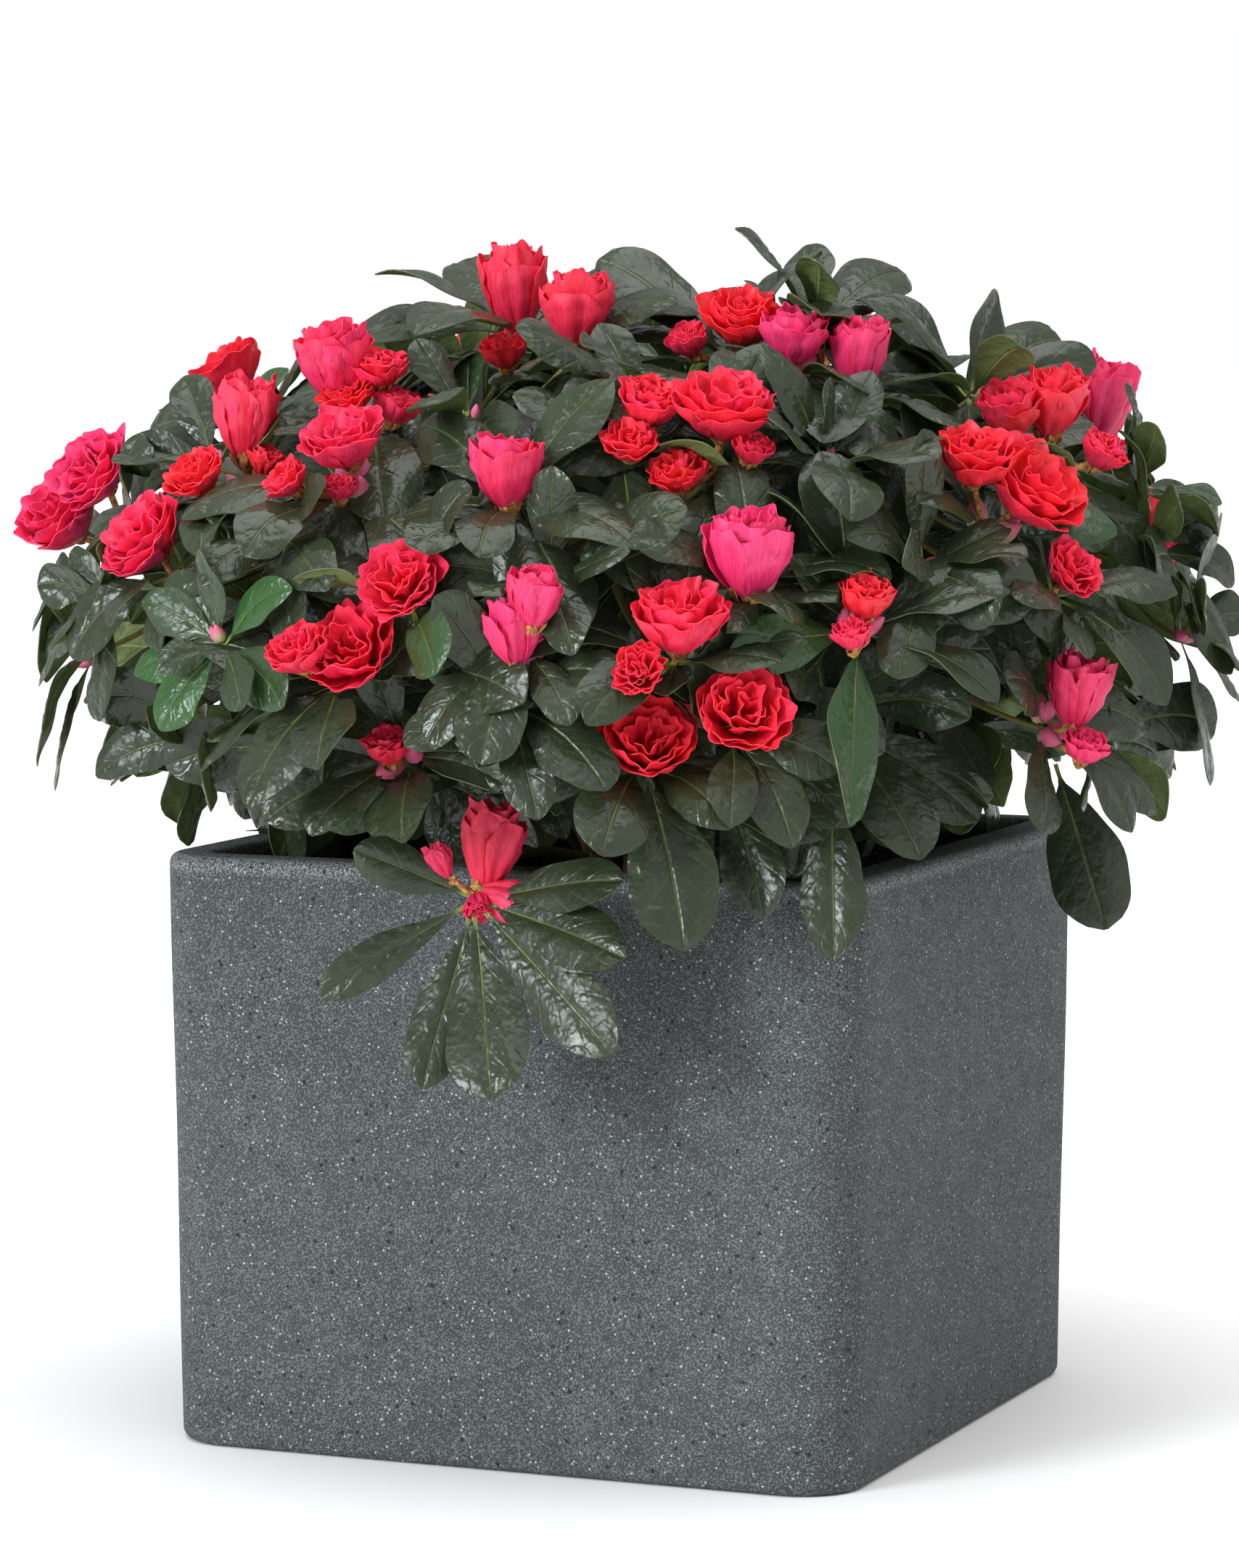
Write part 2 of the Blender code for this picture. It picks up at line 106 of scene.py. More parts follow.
# The blooms in each flower head, as seen from the front right: millimetres across and up from the
# head's middle, width, height, openness (0 a goblet, 1 spread wide), and 0 coral red to 1 magenta
CLUSTERS = (
    ((-12, -15, 53, 58, 0.55, 0.75), (8, 9, 50, 49, 0.60, 0.90)),
    ((4, -3, 50, 50, 0.60, 0.60),),
    ((15, 8, 34, 47, 0.15, 0.35), (-9, -21, 37, 29, 0.55, 0.15), (26, -14, 18, 21, 0.35, 0.20)),
    ((-7, 2, 43, 50, 0.25, 0.65), (0, -14, 35, 29, 0.65, 0.15), (17, 0, 29, 25, 0.45, 0.30),
     (24, -19, 25, 24, 0.35, 0.40)),
    ((8, 1, 47, 42, 0.56, 0.55), (-21, -18, 20, 30, 0.55, 0.25), (6, -22, 18, 16, 0.40, 0.45)),
    ((-1, -2, 35, 51, 0.12, 0.30), (-6, -33, 24, 26, 0.40, 0.05)),
    ((1, -1, 39, 41, 0.22, 0.25),),
    ((3, -5, 48, 40, 0.55, 0.05), (-25, -16, 22, 25, 0.45, 0.35)),
    ((-1, -1, 35, 32, 0.25, 0.95),),
    ((-3, -2, 30, 42, 0.20, 0.90),),
    ((2, 4, 52, 54, 0.55, 0.30), (-21, -28, 32, 30, 0.55, 0.05), (16, -16, 22, 19, 0.40, 0.30)),
    ((15, 2, 32, 36, 0.50, 0.20), (5, -18, 38, 22, 0.60, 0.15)),
    ((2, -4, 37, 40, 0.12, 0.75),),
    ((6, -9, 53, 63, 0.60, 0.12), (-24, 6, 38, 44, 0.50, 0.08)),
    ((-4, 1, 36, 46, 0.30, 0.15), (-28, -3, 36, 38, 0.40, 0.25), (21, -25, 24, 27, 0.45, 0.40)),
    ((-4, -2, 37, 31, 0.65, 0.35),),
    ((-7, -5, 44, 46, 0.14, 1.00),),
    ((-2, 2, 27, 28, 0.35, 0.05), (-9, -16, 19, 18, 0.30, 0.45)),
    ((3, -6, 43, 43, 0.60, 0.35),),
    ((14, 0, 50, 48, 0.56, 0.22), (-11, -1, 32, 32, 0.50, 0.32)),
    ((-2, -7, 30, 37, 0.05, 0.95), (8, 9, 30, 31, 0.05, 0.80)),
    ((1, 2, 47, 45, 0.40, 0.30), (-19, -22, 29, 26, 0.60, 0.22)),
    ((0, 1, 48, 50, 0.56, 0.16),),
    ((2, 2, 49, 47, 0.52, 0.14),),
    ((0, -1, 24, 21, 0.35, 0.30),),
    ((-2, 7, 32, 43, 0.14, 0.80), (1, -21, 25, 19, 0.35, 0.85)),
)
# On the side that faces away: shares of the head's size instead of millimetres
FAR_CLUSTERS = (
    ((0.00, 0.12, 0.72, 0.76, 0.55, 0.25), (-0.30, -0.22, 0.46, 0.44, 0.55, 0.30),
     (0.30, -0.20, 0.38, 0.42, 0.20, 0.40)),
    ((-0.22, 0.08, 0.56, 0.82, 0.15, 0.80), (0.26, 0.00, 0.54, 0.72, 0.25, 0.90),
     (0.00, -0.30, 0.40, 0.40, 0.45, 0.60)),
    ((0.06, 0.00, 0.84, 0.82, 0.75, 0.15), (-0.36, -0.14, 0.40, 0.40, 0.50, 0.20)),
)
# Room that leaves keep clear of, as centre and radius: the sprig over the front, the rim's front
# left corner, and the gap above the rim on the right, where the plant's bare stems show
CLEAR_ROOMS = (
    ((0.013, -0.268, 0.318), 0.062), ((-0.185, -0.215, 0.318), 0.050), ((-0.130, -0.215, 0.318), 0.034),
    ((0.215, 0.010, 0.345), 0.040), ((0.215, 0.090, 0.345), 0.048), ((0.215, 0.160, 0.340), 0.040),
)

# Blooms with clusters of unopened buds at their foot
BUDDED_BLOOMS = (3, 5, 9, 14, 17, 18, 21, 25, 26, 29, 32)

# Shoots without a bloom: azimuth, elevation and reach on the crown, leaves, length, droop, tint
SPRAYS = (
    (-109, 1, 1.00, 9, 0.066, 0.8, 0.30), (-134, 7, 0.94, 8, 0.080, 0.9, 0.0),
    (-149, -6, 0.94, 8, 0.082, 1.0, 0.1), (-125, -28, 0.95, 7, 0.080, 1.3, 0.1),
    (-111, -32, 0.92, 7, 0.084, 1.3, 0.0), (-87, -1, 0.92, 8, 0.082, 0.8, 0.0),
    (-100, -46, 0.90, 7, 0.080, 1.1, 0.0), (-80, -12, 0.93, 8, 0.086, 0.9, 0.0),
    (-58, -34, 0.93, 8, 0.088, 1.2, 0.0), (-45, -56, 0.95, 7, 0.086, 1.3, 0.1),
    (-28, -50, 0.95, 8, 0.086, 1.3, 0.2), (3, -32, 0.97, 6, 0.090, 1.5, 0.1),
    (6, 14, 0.93, 8, 0.080, 0.8, 0.0), (9, 0, 0.95, 8, 0.082, 1.0, 0.1),
    (8, 24, 0.96, 6, 0.062, 0.5, 0.2), (-24, 62, 0.93, 6, 0.080, 0.3, 0.0),
    (-66, 46, 0.90, 8, 0.084, 0.5, 0.1), (-45, 31, 0.93, 8, 0.088, 0.8, 0.0),
    (-76, 12, 0.92, 8, 0.078, 0.7, 0.0), (-107, 18, 0.93, 8, 0.080, 0.8, 0.0),
    (-37, 14, 0.92, 8, 0.084, 0.9, 0.0), (-128, 30, 0.92, 7, 0.074, 0.7, 0.0),
    (-92, 42, 0.88, 8, 0.080, 0.6, 0.0), (-10, 44, 0.92, 8, 0.080, 0.7, 0.0),
)

# Long leaves that hang low by the rim: foot, tip, width
LOW_LEAVES = (
    ((0.226, 0.060, 0.362), (0.259, 0.050, 0.275), 0.044),
    ((0.240, 0.060, 0.383), (0.309, 0.090, 0.390), 0.035),
    ((0.193, -0.206, 0.374), (0.200, -0.222, 0.286), 0.033),
    ((0.136, -0.200, 0.386), (0.127, -0.222, 0.306), 0.018),
)


# --- arrays to meshes


def unit(vectors):
    return vectors / np.maximum(np.linalg.norm(vectors, axis=-1, keepdims=True), 1e-9)


def frame_about(axis):
    """Two directions square to the axis and to each other."""
    axis = unit(np.asarray(axis, float))
    helper = np.array([0.0, 0.0, 1.0]) if abs(axis[2]) < 0.9 else np.array([1.0, 0.0, 0.0])
    first = unit(np.cross(helper, axis))
    return first, np.cross(axis, first)


def axes_about(axis):
    """Rows that turn local X, Y and Z into world directions, with Z along the axis."""
    return np.stack((*frame_about(axis), axis))


def flat(angle):
    """The level direction at this angle from +X."""
    return np.array((cos(angle), sin(angle), 0.0))


def view_axes(azimuth):
    """Across, to the right as seen from this azimuth, and toward the viewer."""
    return np.array((-sin(azimuth), cos(azimuth), 0.0)), flat(azimuth)


def bend(start, middle, end, count):
    """Points of a curve from start to end, drawn towards the middle point."""
    share = np.linspace(0, 1, count)[:, None]
    return start * (1 - share) ** 2 + 2 * middle * share * (1 - share) + end * share**2


def box_centre(name):
    low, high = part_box(name)
    return np.array((low + high) / 2)


def placed(name, data):
    """A new object in the scene."""
    obj = bpy.data.objects.new(name, data)
    bpy.context.scene.collection.objects.link(obj)
    return obj


def ring_faces(count, sides):
    """Numbers of the points in stacked rings, of their next neighbours, and the quads between."""
    index = np.arange(count * sides).reshape(count, sides)
    beside = np.roll(index, -1, axis=1)
    quads = np.stack((index[:-1], beside[:-1], beside[1:], index[1:]), axis=-1)
    return index, beside, quads.reshape(-1, 4)


class Pieces:
    """Collects closed shapes into one mesh, with UVs and the attributes the materials read."""

    def __init__(self):
        self.points, self.uvs, self.tints, self.unders, self.faces = [], [], [], [], []
        self.count = 0

    def add(self, points, faces, uvs, tint, under=None):
        points = np.asarray(points, float).reshape(-1, 3)
        for group in faces:
            self.faces.append(np.asarray(group, int) + self.count)
        self.points.append(points)
        self.uvs.append(np.asarray(uvs, float).reshape(-1, 2))
        self.tints.append(np.full(len(points), tint, float))
        self.unders.append(np.zeros(len(points)) if under is None else under)
        self.count += len(points)

    def sheet(self, grid, thickness, tint, across=None):
        """A thin closed sheet: axis 0 of the grid runs along it and axis 1 across it."""
        rows, columns = grid.shape[:2]
        across = np.linspace(0, 1, columns) if across is None else across
        normal = unit(np.cross(np.gradient(grid, axis=0), np.gradient(grid, axis=1)))
        top = grid + normal * thickness / 2
        bottom = grid - normal * thickness / 2
        index = np.arange(rows * columns).reshape(rows, columns)
        quads = np.stack(
            (index[:-1, :-1], index[1:, :-1], index[1:, 1:], index[:-1, 1:]), axis=-1
        ).reshape(-1, 4)
        size = rows * columns
        loop = np.concatenate(
            (index[:, 0], index[-1, 1:], index[-2::-1, -1], index[0, -2:0:-1])
        )
        after = np.roll(loop, -1)
        edge = np.stack((after, loop, loop + size, after + size), axis=-1)
        along, aside = np.meshgrid(np.linspace(0, 1, rows), across, indexing="ij")
        uv = np.stack((along, aside), axis=-1).reshape(-1, 2)
        self.add(
            np.concatenate((top.reshape(-1, 3), bottom.reshape(-1, 3))),
            (quads, quads[:, (0, 3, 2, 1)] + size, edge),
            np.concatenate((uv, uv)),
            tint,
            np.repeat((0.0, 1.0), size),
        )

    def tube(self, route, radii, sides, tint, ahead=None):
        """A round bar along the route, closed at both ends."""
        route = np.asarray(route, float)
        radii = np.broadcast_to(np.asarray(radii, float), len(route))
        ahead = unit(np.gradient(route, axis=0)) if ahead is None else ahead
        side = frame_about(ahead[0])[0]
        rings = []
        turn = np.linspace(0, 2 * pi, sides, endpoint=False)
        for place, direction, radius in zip(route, ahead, radii):
            side = unit(side - direction * np.dot(side, direction))
            other = np.cross(direction, side)
            ring = np.outer(np.cos(turn), side) + np.outer(np.sin(turn), other)
            rings.append(place + radius * ring)
        count = len(route)
        index, beside, quads = ring_faces(count, sides)
        first, last = count * sides, count * sides + 1
        starts = np.stack((np.full(sides, first), beside[0], index[0]), axis=-1)
        ends = np.stack((np.full(sides, last), index[-1], beside[-1]), axis=-1)
        points = np.concatenate((np.array(rings).reshape(-1, 3), route[[0, -1]]))
        along = np.repeat(np.linspace(0, 1, count), sides)
        around = np.tile(np.linspace(0, 1, sides), count)
        uv = np.concatenate((np.stack((along, around), axis=-1), [[0, 0], [1, 0]]))
        self.add(points, (quads, starts, ends), uv, tint)

    def bead(self, centre, axis, profile, sides, tint):
        """A turned closed shape: the profile lists (radius, height) from its foot to its other end."""
        centre, axis = np.asarray(centre, float), unit(np.asarray(axis, float))
        route = [centre + axis * height for _, height in profile]
        self.tube(route, [radius for radius, _ in profile], sides, tint, [axis] * len(route))

    def build(self, name, material, body, slot, sharp=50):
        mesh = bpy.data.meshes.new(name)
        points = np.concatenate(self.points).astype(np.float32)
        mesh.vertices.add(len(points))
        mesh.vertices.foreach_set("co", points.ravel())
        corners = np.concatenate([group.ravel() for group in self.faces])
        sizes = np.concatenate([np.full(len(group), group.shape[1]) for group in self.faces])
        mesh.loops.add(len(corners))
        mesh.loops.foreach_set("vertex_index", corners.astype(np.int32))
        mesh.polygons.add(len(sizes))
        starts = np.concatenate(([0], np.cumsum(sizes)[:-1]))
        mesh.polygons.foreach_set("loop_start", starts.astype(np.int32))
        mesh.update(calc_edges=True)
        uv_layer = mesh.uv_layers.new(name="UVMap")
        uvs = np.concatenate(self.uvs)[corners].astype(np.float32)
        uv_layer.data.foreach_set("uv", uvs.ravel())
        for label, values in (("tint", self.tints), ("under", self.unders)):
            attribute = mesh.attributes.new(label, "FLOAT", "POINT")
            attribute.data.foreach_set("value", np.concatenate(values).astype(np.float32))
        mesh.shade_smooth()
        mesh.set_sharp_from_angle(angle=radians(sharp))
        mesh.materials.append(material)
        obj = placed(name, mesh)
        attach(obj, body)
        return obj


# --- material nodes


class Graph:
    """Short calls for building a material out of nodes."""

    def __init__(self, name, roughness):
        self.material = bpy.data.materials.new(name)
        self.material.use_nodes = True
        self.tree = self.material.node_tree
        self.shader = self.tree.nodes["Principled BSDF"]
        self.shader.inputs["Roughness"].default_value = roughness
        self.place = self.node("ShaderNodeTexCoord").outputs["Object"]

    def node(self, kind, sockets=None, **settings):
        node = self.tree.nodes.new(kind)
        for key, value in settings.items():
            setattr(node, key, value)
        for key, value in (sockets or {}).items():
            self.feed(node.inputs[key], value)
        return node

    def feed(self, socket, value):
        if isinstance(value, bpy.types.NodeSocket):
            self.tree.links.new(value, socket)
        elif isinstance(value, tuple) and len(value) == 3 and socket.type == "RGBA":
            socket.default_value = (*value, 1.0)
        else:
            socket.default_value = value

    def set(self, **sockets):
        for key, value in sockets.items():
            self.feed(self.shader.inputs[key.replace("_", " ")], value)

    def math(self, operation, first, second=0.0):
        return self.node("ShaderNodeMath", {0: first, 1: second}, operation=operation).outputs[0]

    def times(self, first, second):
        return self.math("MULTIPLY", first, second)

    def plus(self, first, second):
        return self.math("ADD", first, second)

    def minus(self, first, second):
        return self.math("SUBTRACT", first, second)

    def part(self, colour, number):
        """Red, green or blue of a colour, as a number from 0 to 1."""
        return self.node("ShaderNodeSeparateColor", {0: colour}).outputs[number]

    def mix(self, factor, first, second):
        sockets = {0: factor, 6: first, 7: second}
        return self.node("ShaderNodeMix", sockets, data_type="RGBA").outputs[2]

    def ramp(self, value, low, high, start=0.0, end=1.0):
        """The value carried smoothly from low..high to start..end."""
        sockets = {"Value": value, "From Min": low, "From Max": high, "To Min": start, "To Max": end}
        return self.node("ShaderNodeMapRange", sockets, interpolation_type="SMOOTHSTEP").outputs[0]

    def noise(self, scale, detail=2.0, place=None):
        sockets = {"Vector": place or self.place, "Scale": scale, "Detail": detail}
        return self.node("ShaderNodeTexNoise", sockets).outputs["Fac"]

    def cells(self, scale, feature="F1", place=None):
        sockets = {"Vector": place or self.place, "Scale": scale}
        return self.node("ShaderNodeTexVoronoi", sockets, feature=feature)

    def stretched(self, scale, place=None):
        sockets = {"Vector": place or self.place, "Scale": scale}
        return self.node("ShaderNodeMapping", sockets).outputs[0]

    def attribute(self, name):
        return self.node("ShaderNodeAttribute", attribute_name=name).outputs["Fac"]

    def uv(self):
        """The UV map, and its parts along a leaf or petal (0 to 1) and across it (0 to 1)."""
        uv = self.node("ShaderNodeUVMap", uv_map="UVMap").outputs[0]
        parts = self.node("ShaderNodeSeparateXYZ", {0: uv}).outputs
        return uv, parts[0], parts[1]

    def bump(self, height, strength, distance):
        sockets = {"Height": height, "Strength": strength, "Distance": distance}
        normal = self.node("ShaderNodeBump", sockets).outputs[0]
        self.feed(self.shader.inputs["Normal"], normal)

    def grained(self, noise, low, high, dark, light, strength, distance):
        """A colour that goes from dark to light with the noise, which also raises the surface."""
        self.bump(noise, strength, distance)
        return self.mix(self.ramp(noise, low, high), dark, light)

    def finished(self, colour):
        self.set(Base_Color=colour)
        return self.material


def granite_material():
    """Dark grey plastic full of pale blue-grey flecks, with sparse dark pits."""
    g = Graph("granite_plastic", 0.5)
    rise = g.node("ShaderNodeSeparateXYZ", {0: g.place}).outputs[2]
    g.place = g.node("ShaderNodeMapping", {"Vector": g.place, "Rotation": (0.5, 0.3, 0.7)}).outputs[0]
    grain = g.noise(1050, 2.5)
    drift = g.noise(60, 2.0)
    flecks = g.ramp(g.plus(grain, g.times(drift, 0.12)), 0.56, 0.66)
    chips = g.cells(620)
    red, green = g.part(chips.outputs["Color"], 0), g.part(chips.outputs["Color"], 1)
    chip = g.times(g.ramp(red, 0.80, 0.84), g.ramp(chips.outputs["Distance"], 0.50, 0.34))
    spark = g.times(g.ramp(green, 0.95, 0.96), g.ramp(chips.outputs["Distance"], 0.45, 0.30))
    pits = g.cells(190)
    pit_pick = g.ramp(g.part(pits.outputs["Color"], 1), 0.80, 0.84)
    pit_shape = g.plus(pits.outputs["Distance"], g.times(g.noise(500, 2.0), 0.5))
    pit = g.times(pit_pick, g.ramp(pit_shape, 0.50, 0.40))
    dark = g.mix(g.noise(420, 2.0), (0.030, 0.032, 0.033), (0.055, 0.058, 0.059))
    dark = g.mix(g.ramp(g.noise(9, 3.0), 0.35, 0.65, 0.0, 0.30), dark, (0.064, 0.067, 0.068))
    pale = g.mix(g.noise(300, 1.0), (0.102, 0.112, 0.117), (0.180, 0.194, 0.201))
    colour = g.mix(g.times(g.math("MAXIMUM", flecks, chip), 0.85), dark, pale)
    # Painted highlight: from about 10 mm below the top, the rim's rounded edge and top face are painted
    # paler, as if lit from above where the crown shades them.
    band = g.ramp(rise, HEIGHT - 0.0105, HEIGHT - 0.0060, 0.0, 0.70)
    colour = g.mix(g.times(band, g.ramp(grain, 0.40, 0.62)), colour, (0.260, 0.280, 0.290))
    colour = g.mix(spark, colour, (0.380, 0.410, 0.420))
    colour = g.mix(pit, colour, (0.020, 0.022, 0.025))
    g.set(Roughness=g.ramp(flecks, 0.0, 1.0, 0.74, 0.62), Specular_IOR_Level=0.16)
    relief = g.minus(g.times(grain, 0.6), g.times(pit, 1.2))
    g.bump(relief, 0.6, 0.0006)
    return g.finished(colour)


def leaf_material():
    """Waxy azalea leaf: pale midrib, quilted side veins, olive underside."""
    g = Graph("azalea_leaf", 0.5)
    _, along, aside = g.uv()
    aside = g.math("ABSOLUTE", g.times(g.minus(aside, 0.5), 2.0))
    under = g.attribute("under")
    tint = g.attribute("tint")
    midrib = g.ramp(aside, 0.075, 0.015)
    climb = g.times(aside, 1.5)
    phase = g.minus(g.times(along, float(SIDE_VEINS)), climb)
    wave = g.math("ABSOLUTE", g.minus(g.math("FRACT", phase), 0.5))
    side_vein = g.ramp(wave, 0.13, 0.01)
    blisters = g.cells(260, "SMOOTH_F1").outputs["Distance"]
    hairs = g.ramp(g.noise(1500, 1.0, g.stretched((1.0, 0.25, 1.0))), 0.66, 0.74, 0.0, 0.22)
    green = g.mix(g.noise(38, 2.0), (0.0150, 0.0215, 0.0110), (0.0290, 0.0430, 0.0190))
    green = g.mix(g.ramp(tint, 0.20, 0.55), green, (0.022, 0.075, 0.016))
    green = g.mix(g.ramp(tint, 0.55, 1.0), green, (0.110, 0.185, 0.026))
    green = g.mix(g.times(side_vein, 0.10), green, (0.050, 0.090, 0.030))
    green = g.mix(hairs, green, (0.210, 0.240, 0.160))
    petiole = g.ramp(along, 0.55, 0.0, 0.10, 0.95)
    green = g.mix(g.times(midrib, petiole), green, (0.260, 0.340, 0.060))
    green = g.mix(g.ramp(along, 0.13, 0.03, 0.0, 0.85), green, (0.240, 0.330, 0.050))
    back = g.mix(g.noise(60, 1.0), (0.085, 0.125, 0.036), (0.140, 0.185, 0.062))
    back = g.mix(g.times(midrib, 0.7), back, (0.260, 0.300, 0.100))
    gloss = g.ramp(g.noise(55, 2.0), 0.3, 0.7, 0.23, 0.40)
    g.set(Roughness=g.plus(gloss, g.times(under, 0.25)))
    g.set(Specular_IOR_Level=0.42)
    creases = g.ramp(g.noise(120, 2.0), 0.38, 0.62)
    relief = g.plus(g.times(blisters, -0.70), g.times(creases, 0.60))
    relief = g.minus(relief, g.times(side_vein, 0.22))
    relief = g.minus(relief, midrib)
    g.bump(relief, 0.60, 0.0009)
    return g.finished(g.mix(under, green, back))


def petal_material():
    """Thin crinkled petal, coral red to magenta, paler towards its edge."""
    g = Graph("azalea_petal", 0.46)
    uv, along, _ = g.uv()
    pink = g.attribute("tint")
    streaks = g.noise(5.0, 3.0, g.stretched((0.7, 7.0, 1.0), uv))
    deep = g.mix(pink, (0.800, 0.008, 0.014), (0.760, 0.010, 0.094))
    bright = g.mix(pink, (0.920, 0.026, 0.036), (0.900, 0.042, 0.185))
    colour = g.mix(g.ramp(streaks, 0.30, 0.68), deep, bright)
    edge = g.mix(pink, (0.880, 0.040, 0.060), (0.860, 0.075, 0.240))
    colour = g.mix(g.ramp(along, 0.60, 1.0, 0.0, 0.20), colour, edge)
    throat = g.ramp(along, 0.18, 0.0, 0.0, 0.5)
    colour = g.mix(throat, colour, (0.520, 0.014, 0.026))
    g.set(Specular_IOR_Level=0.38, Subsurface_Weight=0.32, Subsurface_Scale=1.0)
    g.set(Subsurface_Radius=(0.005, 0.0008, 0.0010))
    g.bump(g.plus(streaks, g.times(g.noise(420, 2.0), 0.35)), 0.5, 0.0009)
    return g.finished(colour)


def bud_material():
    """Tight buds: green-white at the foot and pink at the tip."""
    g = Graph("azalea_bud", 0.42)
    uv, along, _ = g.uv()
    foot = g.mix(g.noise(300, 2.0), (0.300, 0.360, 0.130), (0.480, 0.500, 0.260))
    tip = g.mix(g.noise(260, 2.0), (0.620, 0.060, 0.190), (0.720, 0.160, 0.280))
    reach = g.plus(along, g.times(g.attribute("tint"), 0.6))
    g.bump(g.noise(30, 2.0, g.stretched((1.0, 9.0, 1.0), uv)), 0.4, 0.0005)
    return g.finished(g.mix(g.ramp(reach, 0.45, 0.95), foot, tip))


def scale_material():
    """Papery bud scales, straw to rust brown."""
    g = Graph("bud_scale", 0.62)
    straw, rust = (0.520, 0.260, 0.070), (0.230, 0.080, 0.018)
    return g.finished(g.grained(g.noise(420, 3.0), 0.35, 0.65, rust, straw, 0.5, 0.0004))


def bark_material():
    """Young azalea wood: green at the tips, ridged brown bark lower down."""
    g = Graph("azalea_bark", 0.7)
    ridges = g.noise(140, 4.0, g.stretched((3.0, 3.0, 0.6)))
    old = g.grained(ridges, 0.35, 0.65, (0.045, 0.020, 0.010), (0.190, 0.105, 0.055), 0.7, 0.0012)
    young = g.mix(g.noise(90, 2.0), (0.150, 0.085, 0.020), (0.170, 0.200, 0.040))
    return g.finished(g.mix(g.attribute("tint"), old, young))


def soil_material():
    g = Graph("potting_mix", 0.92)
    black, brown = (0.016, 0.009, 0.006), (0.075, 0.043, 0.024)
    crumbs = g.grained(g.noise(260, 4.0), 0.35, 0.65, black, brown, 1.0, 0.003)
    return g.finished(g.mix(g.noise(20, 2.0), crumbs, (0.045, 0.028, 0.018)))


def chip_material():
    g = Graph("bark_chip", 0.8)
    fibres = g.noise(120, 3.0, g.stretched((1.0, 5.0, 5.0)))
    colour = g.grained(fibres, 0.3, 0.7, (0.050, 0.024, 0.012), (0.240, 0.125, 0.060), 0.8, 0.001)
    return g.finished(g.mix(g.attribute("tint"), colour, (0.090, 0.055, 0.035)))


def perlite_material():
    g = Graph("perlite", 0.85)
    grey, white = (0.420, 0.400, 0.360), (0.780, 0.770, 0.730)
    return g.finished(g.grained(g.noise(700, 3.0), 0.35, 0.6, grey, white, 0.8, 0.0008))


def pot_material():
    """Thin black injection-moulded plastic with faint flow marks and dust."""
    g = Graph("pot_plastic", 0.42)
    flow = g.noise(30, 3.0, g.stretched((1.0, 1.0, 6.0)))
    dust = g.ramp(g.noise(85, 4.0), 0.56, 0.78, 0.0, 0.45)
    colour = g.grained(flow, 0.3, 0.7, (0.013, 0.013, 0.014), (0.026, 0.026, 0.028), 0.15, 0.0005)
    g.set(Roughness=g.plus(g.times(dust, 0.5), 0.36))
    return g.finished(g.mix(dust, colour, (0.105, 0.085, 0.066)))


def rubber_material():
    g = Graph("plug_rubber", 0.72)
    black, worn = (0.014, 0.014, 0.015), (0.042, 0.041, 0.040)
    return g.finished(g.grained(g.noise(320, 3.0), 0.4, 0.7, black, worn, 0.35, 0.0004))


def floor_material():
    g = Graph("studio_floor", 0.7)
    return g.finished(g.mix(g.noise(3, 2.0), (0.90, 0.90, 0.90), (0.92, 0.92, 0.92)))


# --- planter


def square_loop(inset, height, corner_steps=12, side_steps=12):
    """A rounded square at this height, inset from the planter's leaning outer face."""
    half = WIDTH / 2 - DRAFT * (1 - height / HEIGHT) - inset
    radius = min(max(CORNER_RADIUS - inset, 0.009), half)
    loop = []
    for corner in range(4):
        turn = corner * pi / 2
        c, s = cos(turn), sin(turn)
        reach = half - radius
        for step in range(corner_steps + 1):
            angle = step / corner_steps * pi / 2
            x, y = reach + radius * cos(angle), reach + radius * sin(angle)
            loop.append((c * x - s * y, s * x + c * y))
        for step in range(1, side_steps):
            x, y = reach - 2 * reach * step / side_steps, half
            loop.append((c * x - s * y, s * x + c * y))
    return [(x, y, height) for x, y in loop]


def quarter_turn(centre, radius, start, steps):
    """Points of a quarter circle in the (inset, height) plane, from an angle in degrees."""
    angles = [radians(start + 90 * step / steps) for step in range(steps + 1)]
    return [(centre[0] + radius * cos(a), centre[1] + radius * sin(a)) for a in angles]


def shell_profile():
    """The wall's section as (inset, height): underside, outside, rim, lip, inside, floor."""
    under = [(inset, 0.0) for inset in (0.18, 0.12, 0.06, 0.03, 0.012)]
    base = [(2 * BASE_ROUND - x, y) for x, y in quarter_turn((BASE_ROUND, BASE_ROUND), BASE_ROUND, 270, 5)]
    side = [(0.0, BASE_ROUND + (HEIGHT - RIM_ROUND - BASE_ROUND) * i / 16) for i in range(1, 16)]
    rim_low = HEIGHT - RIM_ROUND
    outer = [(RIM_ROUND - x, rim_low + y) for x, y in quarter_turn((0, 0), RIM_ROUND, 0, 6)]
    middle = RIM_WIDTH - RIM_ROUND
    inner = [(middle - x, rim_low + y) for x, y in quarter_turn((0, 0), RIM_ROUND, 90, 6)]
    lip = [(RIM_WIDTH, HEIGHT - LIP_DEPTH * i / 4) for i in range(1, 5)]
    behind = [(RIM_WIDTH - WALL, HEIGHT - LIP_DEPTH), (RIM_WIDTH - WALL, HEIGHT - WALL - 0.001)]
    inside = [(WALL, HEIGHT - WALL - 0.001)]
    inside += [(WALL, 2 * WALL + (HEIGHT - 3 * WALL) * (1 - i / 5)) for i in range(1, 6)]
    floor = [(WALL + 0.0015, WALL + 0.0015), (2 * WALL, WALL), (0.04, WALL), (0.10, WALL), (0.18, WALL)]
    return under + base + side + outer + inner + lip + behind + inside + floor


